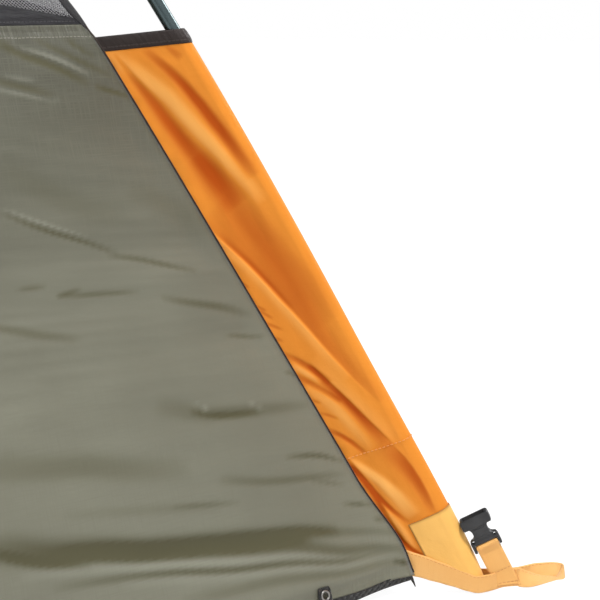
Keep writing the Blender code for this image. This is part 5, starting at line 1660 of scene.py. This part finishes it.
def arch_line(grow, marks):
    """Points round the door's arch, from its right foot at 0 over the top to its left foot at 1."""
    turn = math.pi * marks
    across = np.sign(np.cos(turn)) * np.abs(np.cos(turn)) ** DOOR_ROUNDNESS * (DOOR_HALF_WIDTH + grow)
    rise = np.clip(np.sin(turn), 0, 1) ** DOOR_ROUNDNESS
    return across, DOOR_SILL + DOOR_GAP + (DOOR_TOP - DOOR_SILL + grow - DOOR_GAP) * rise


def zip_shape(u, v, inward):
    marks, share = (1 - u) / 2, (v + 1) / 2
    outer, inner = arch_line(ZIP_TAPE_WIDTH - DOOR_GAP, marks), arch_line(DOOR_GAP, marks)
    across, height = between(inner, outer, share)
    ridge = 0.0004 * np.sin(math.pi * share)
    points, _ = panel("front", across / side_half("front", height), length_at(height), inward - ridge)
    return points, np.stack((marks * ZIP_LENGTH, share * ZIP_TAPE_WIDTH), axis=1)


zip_tape_finish = fabric("brown zip tape", tint(76, 66, 62), tint(52, 44, 42), pitch=0.0011, relief=0.00025,
                         rows=(0.0115,), thread=tint(112, 100, 92))
zip_tape = cloth("zip_tape_strip", 420, 6, zip_shape, zip_tape_finish, ZIP_TAPE_CLOTH)
finish_cloth(zip_tape, ["zip_tape"], "root", "brown_binding")

across, height = arch_line(0.0004, np.linspace(0, 1, 1200))
middle = panel("front", across / side_half("front", height), length_at(height), np.full(1200, -0.0006))[0]
along = lengths_along(middle)
stops = np.linspace(0, along[-1], int(along[-1] / COIL_PITCH) * COIL_SIDES)
spine = np.stack([np.interp(stops, along, column) for column in middle.T], axis=1)
heading = np.gradient(spine, axis=0)
aside = np.cross(heading / np.linalg.norm(heading, axis=1)[:, None], (0, -1, 0))
twist = np.arange(len(stops))[:, None] * math.tau / COIL_SIDES
coil = spine + aside * np.cos(twist) * COIL_RADIUS + np.array((0, -1, 0)) * np.sin(twist) * COIL_RADIUS * 0.5
finish_piece(tube("zip_coil", coil, COIL_WIRE, black_plastic, 0), "root", "black_plastic")

low_end, centre, high_end = (
    Vector([float(np.interp(SLIDER_AT + step, along, column)) for column in middle.T])
    for step in (-0.006, 0.0, 0.006))
up_zip = (high_end - low_end).normalized()
out_of_tent = up_zip.cross(Vector((-1, 0, 0))).normalized()
slider_frame = Matrix((up_zip.cross(out_of_tent), out_of_tent, up_zip)).transposed().to_4x4()
slider_frame.translation = centre + out_of_tent * SLIDER_PROUD
body = bmesh.new()
bmesh.ops.create_cube(body, size=1.0)
bmesh.ops.scale(body, vec=SLIDER, verts=body.verts[:])
for vert in body.verts:
    vert.co.x *= 0.72 if vert.co.z < 0 else 1.0
bevelled(body, body.edges[:], 0.0011, 2)
slider = place_body(body, "zip_slider", steel, slider_frame)
half_turn = np.linspace(0, math.pi, 13)
bridge = np.stack((np.zeros(13), 0.0018 + 0.0021 * np.sin(half_turn), -0.0036 * np.cos(half_turn)), axis=1)
loop = np.linspace(0, math.tau, 41)
drop = (1 - np.cos(loop)) / 2
cord = np.stack((0.0030 * np.sin(loop), 0.0034 - 0.0012 * drop, 0.0012 - PULL_LENGTH * drop), axis=1)
for name, line, radius, finish, slot in (("zip_slider_bridge", bridge, 0.0007, steel, "pole_alloy"),
                                         ("zip_pull_cord", cord, 0.0011, dark_tape, "brown_binding")):
    finish_piece(tube(name, moved(line, slider_frame), radius, finish, 1), "root", slot)
finish_piece(slider, "root", "pole_alloy")
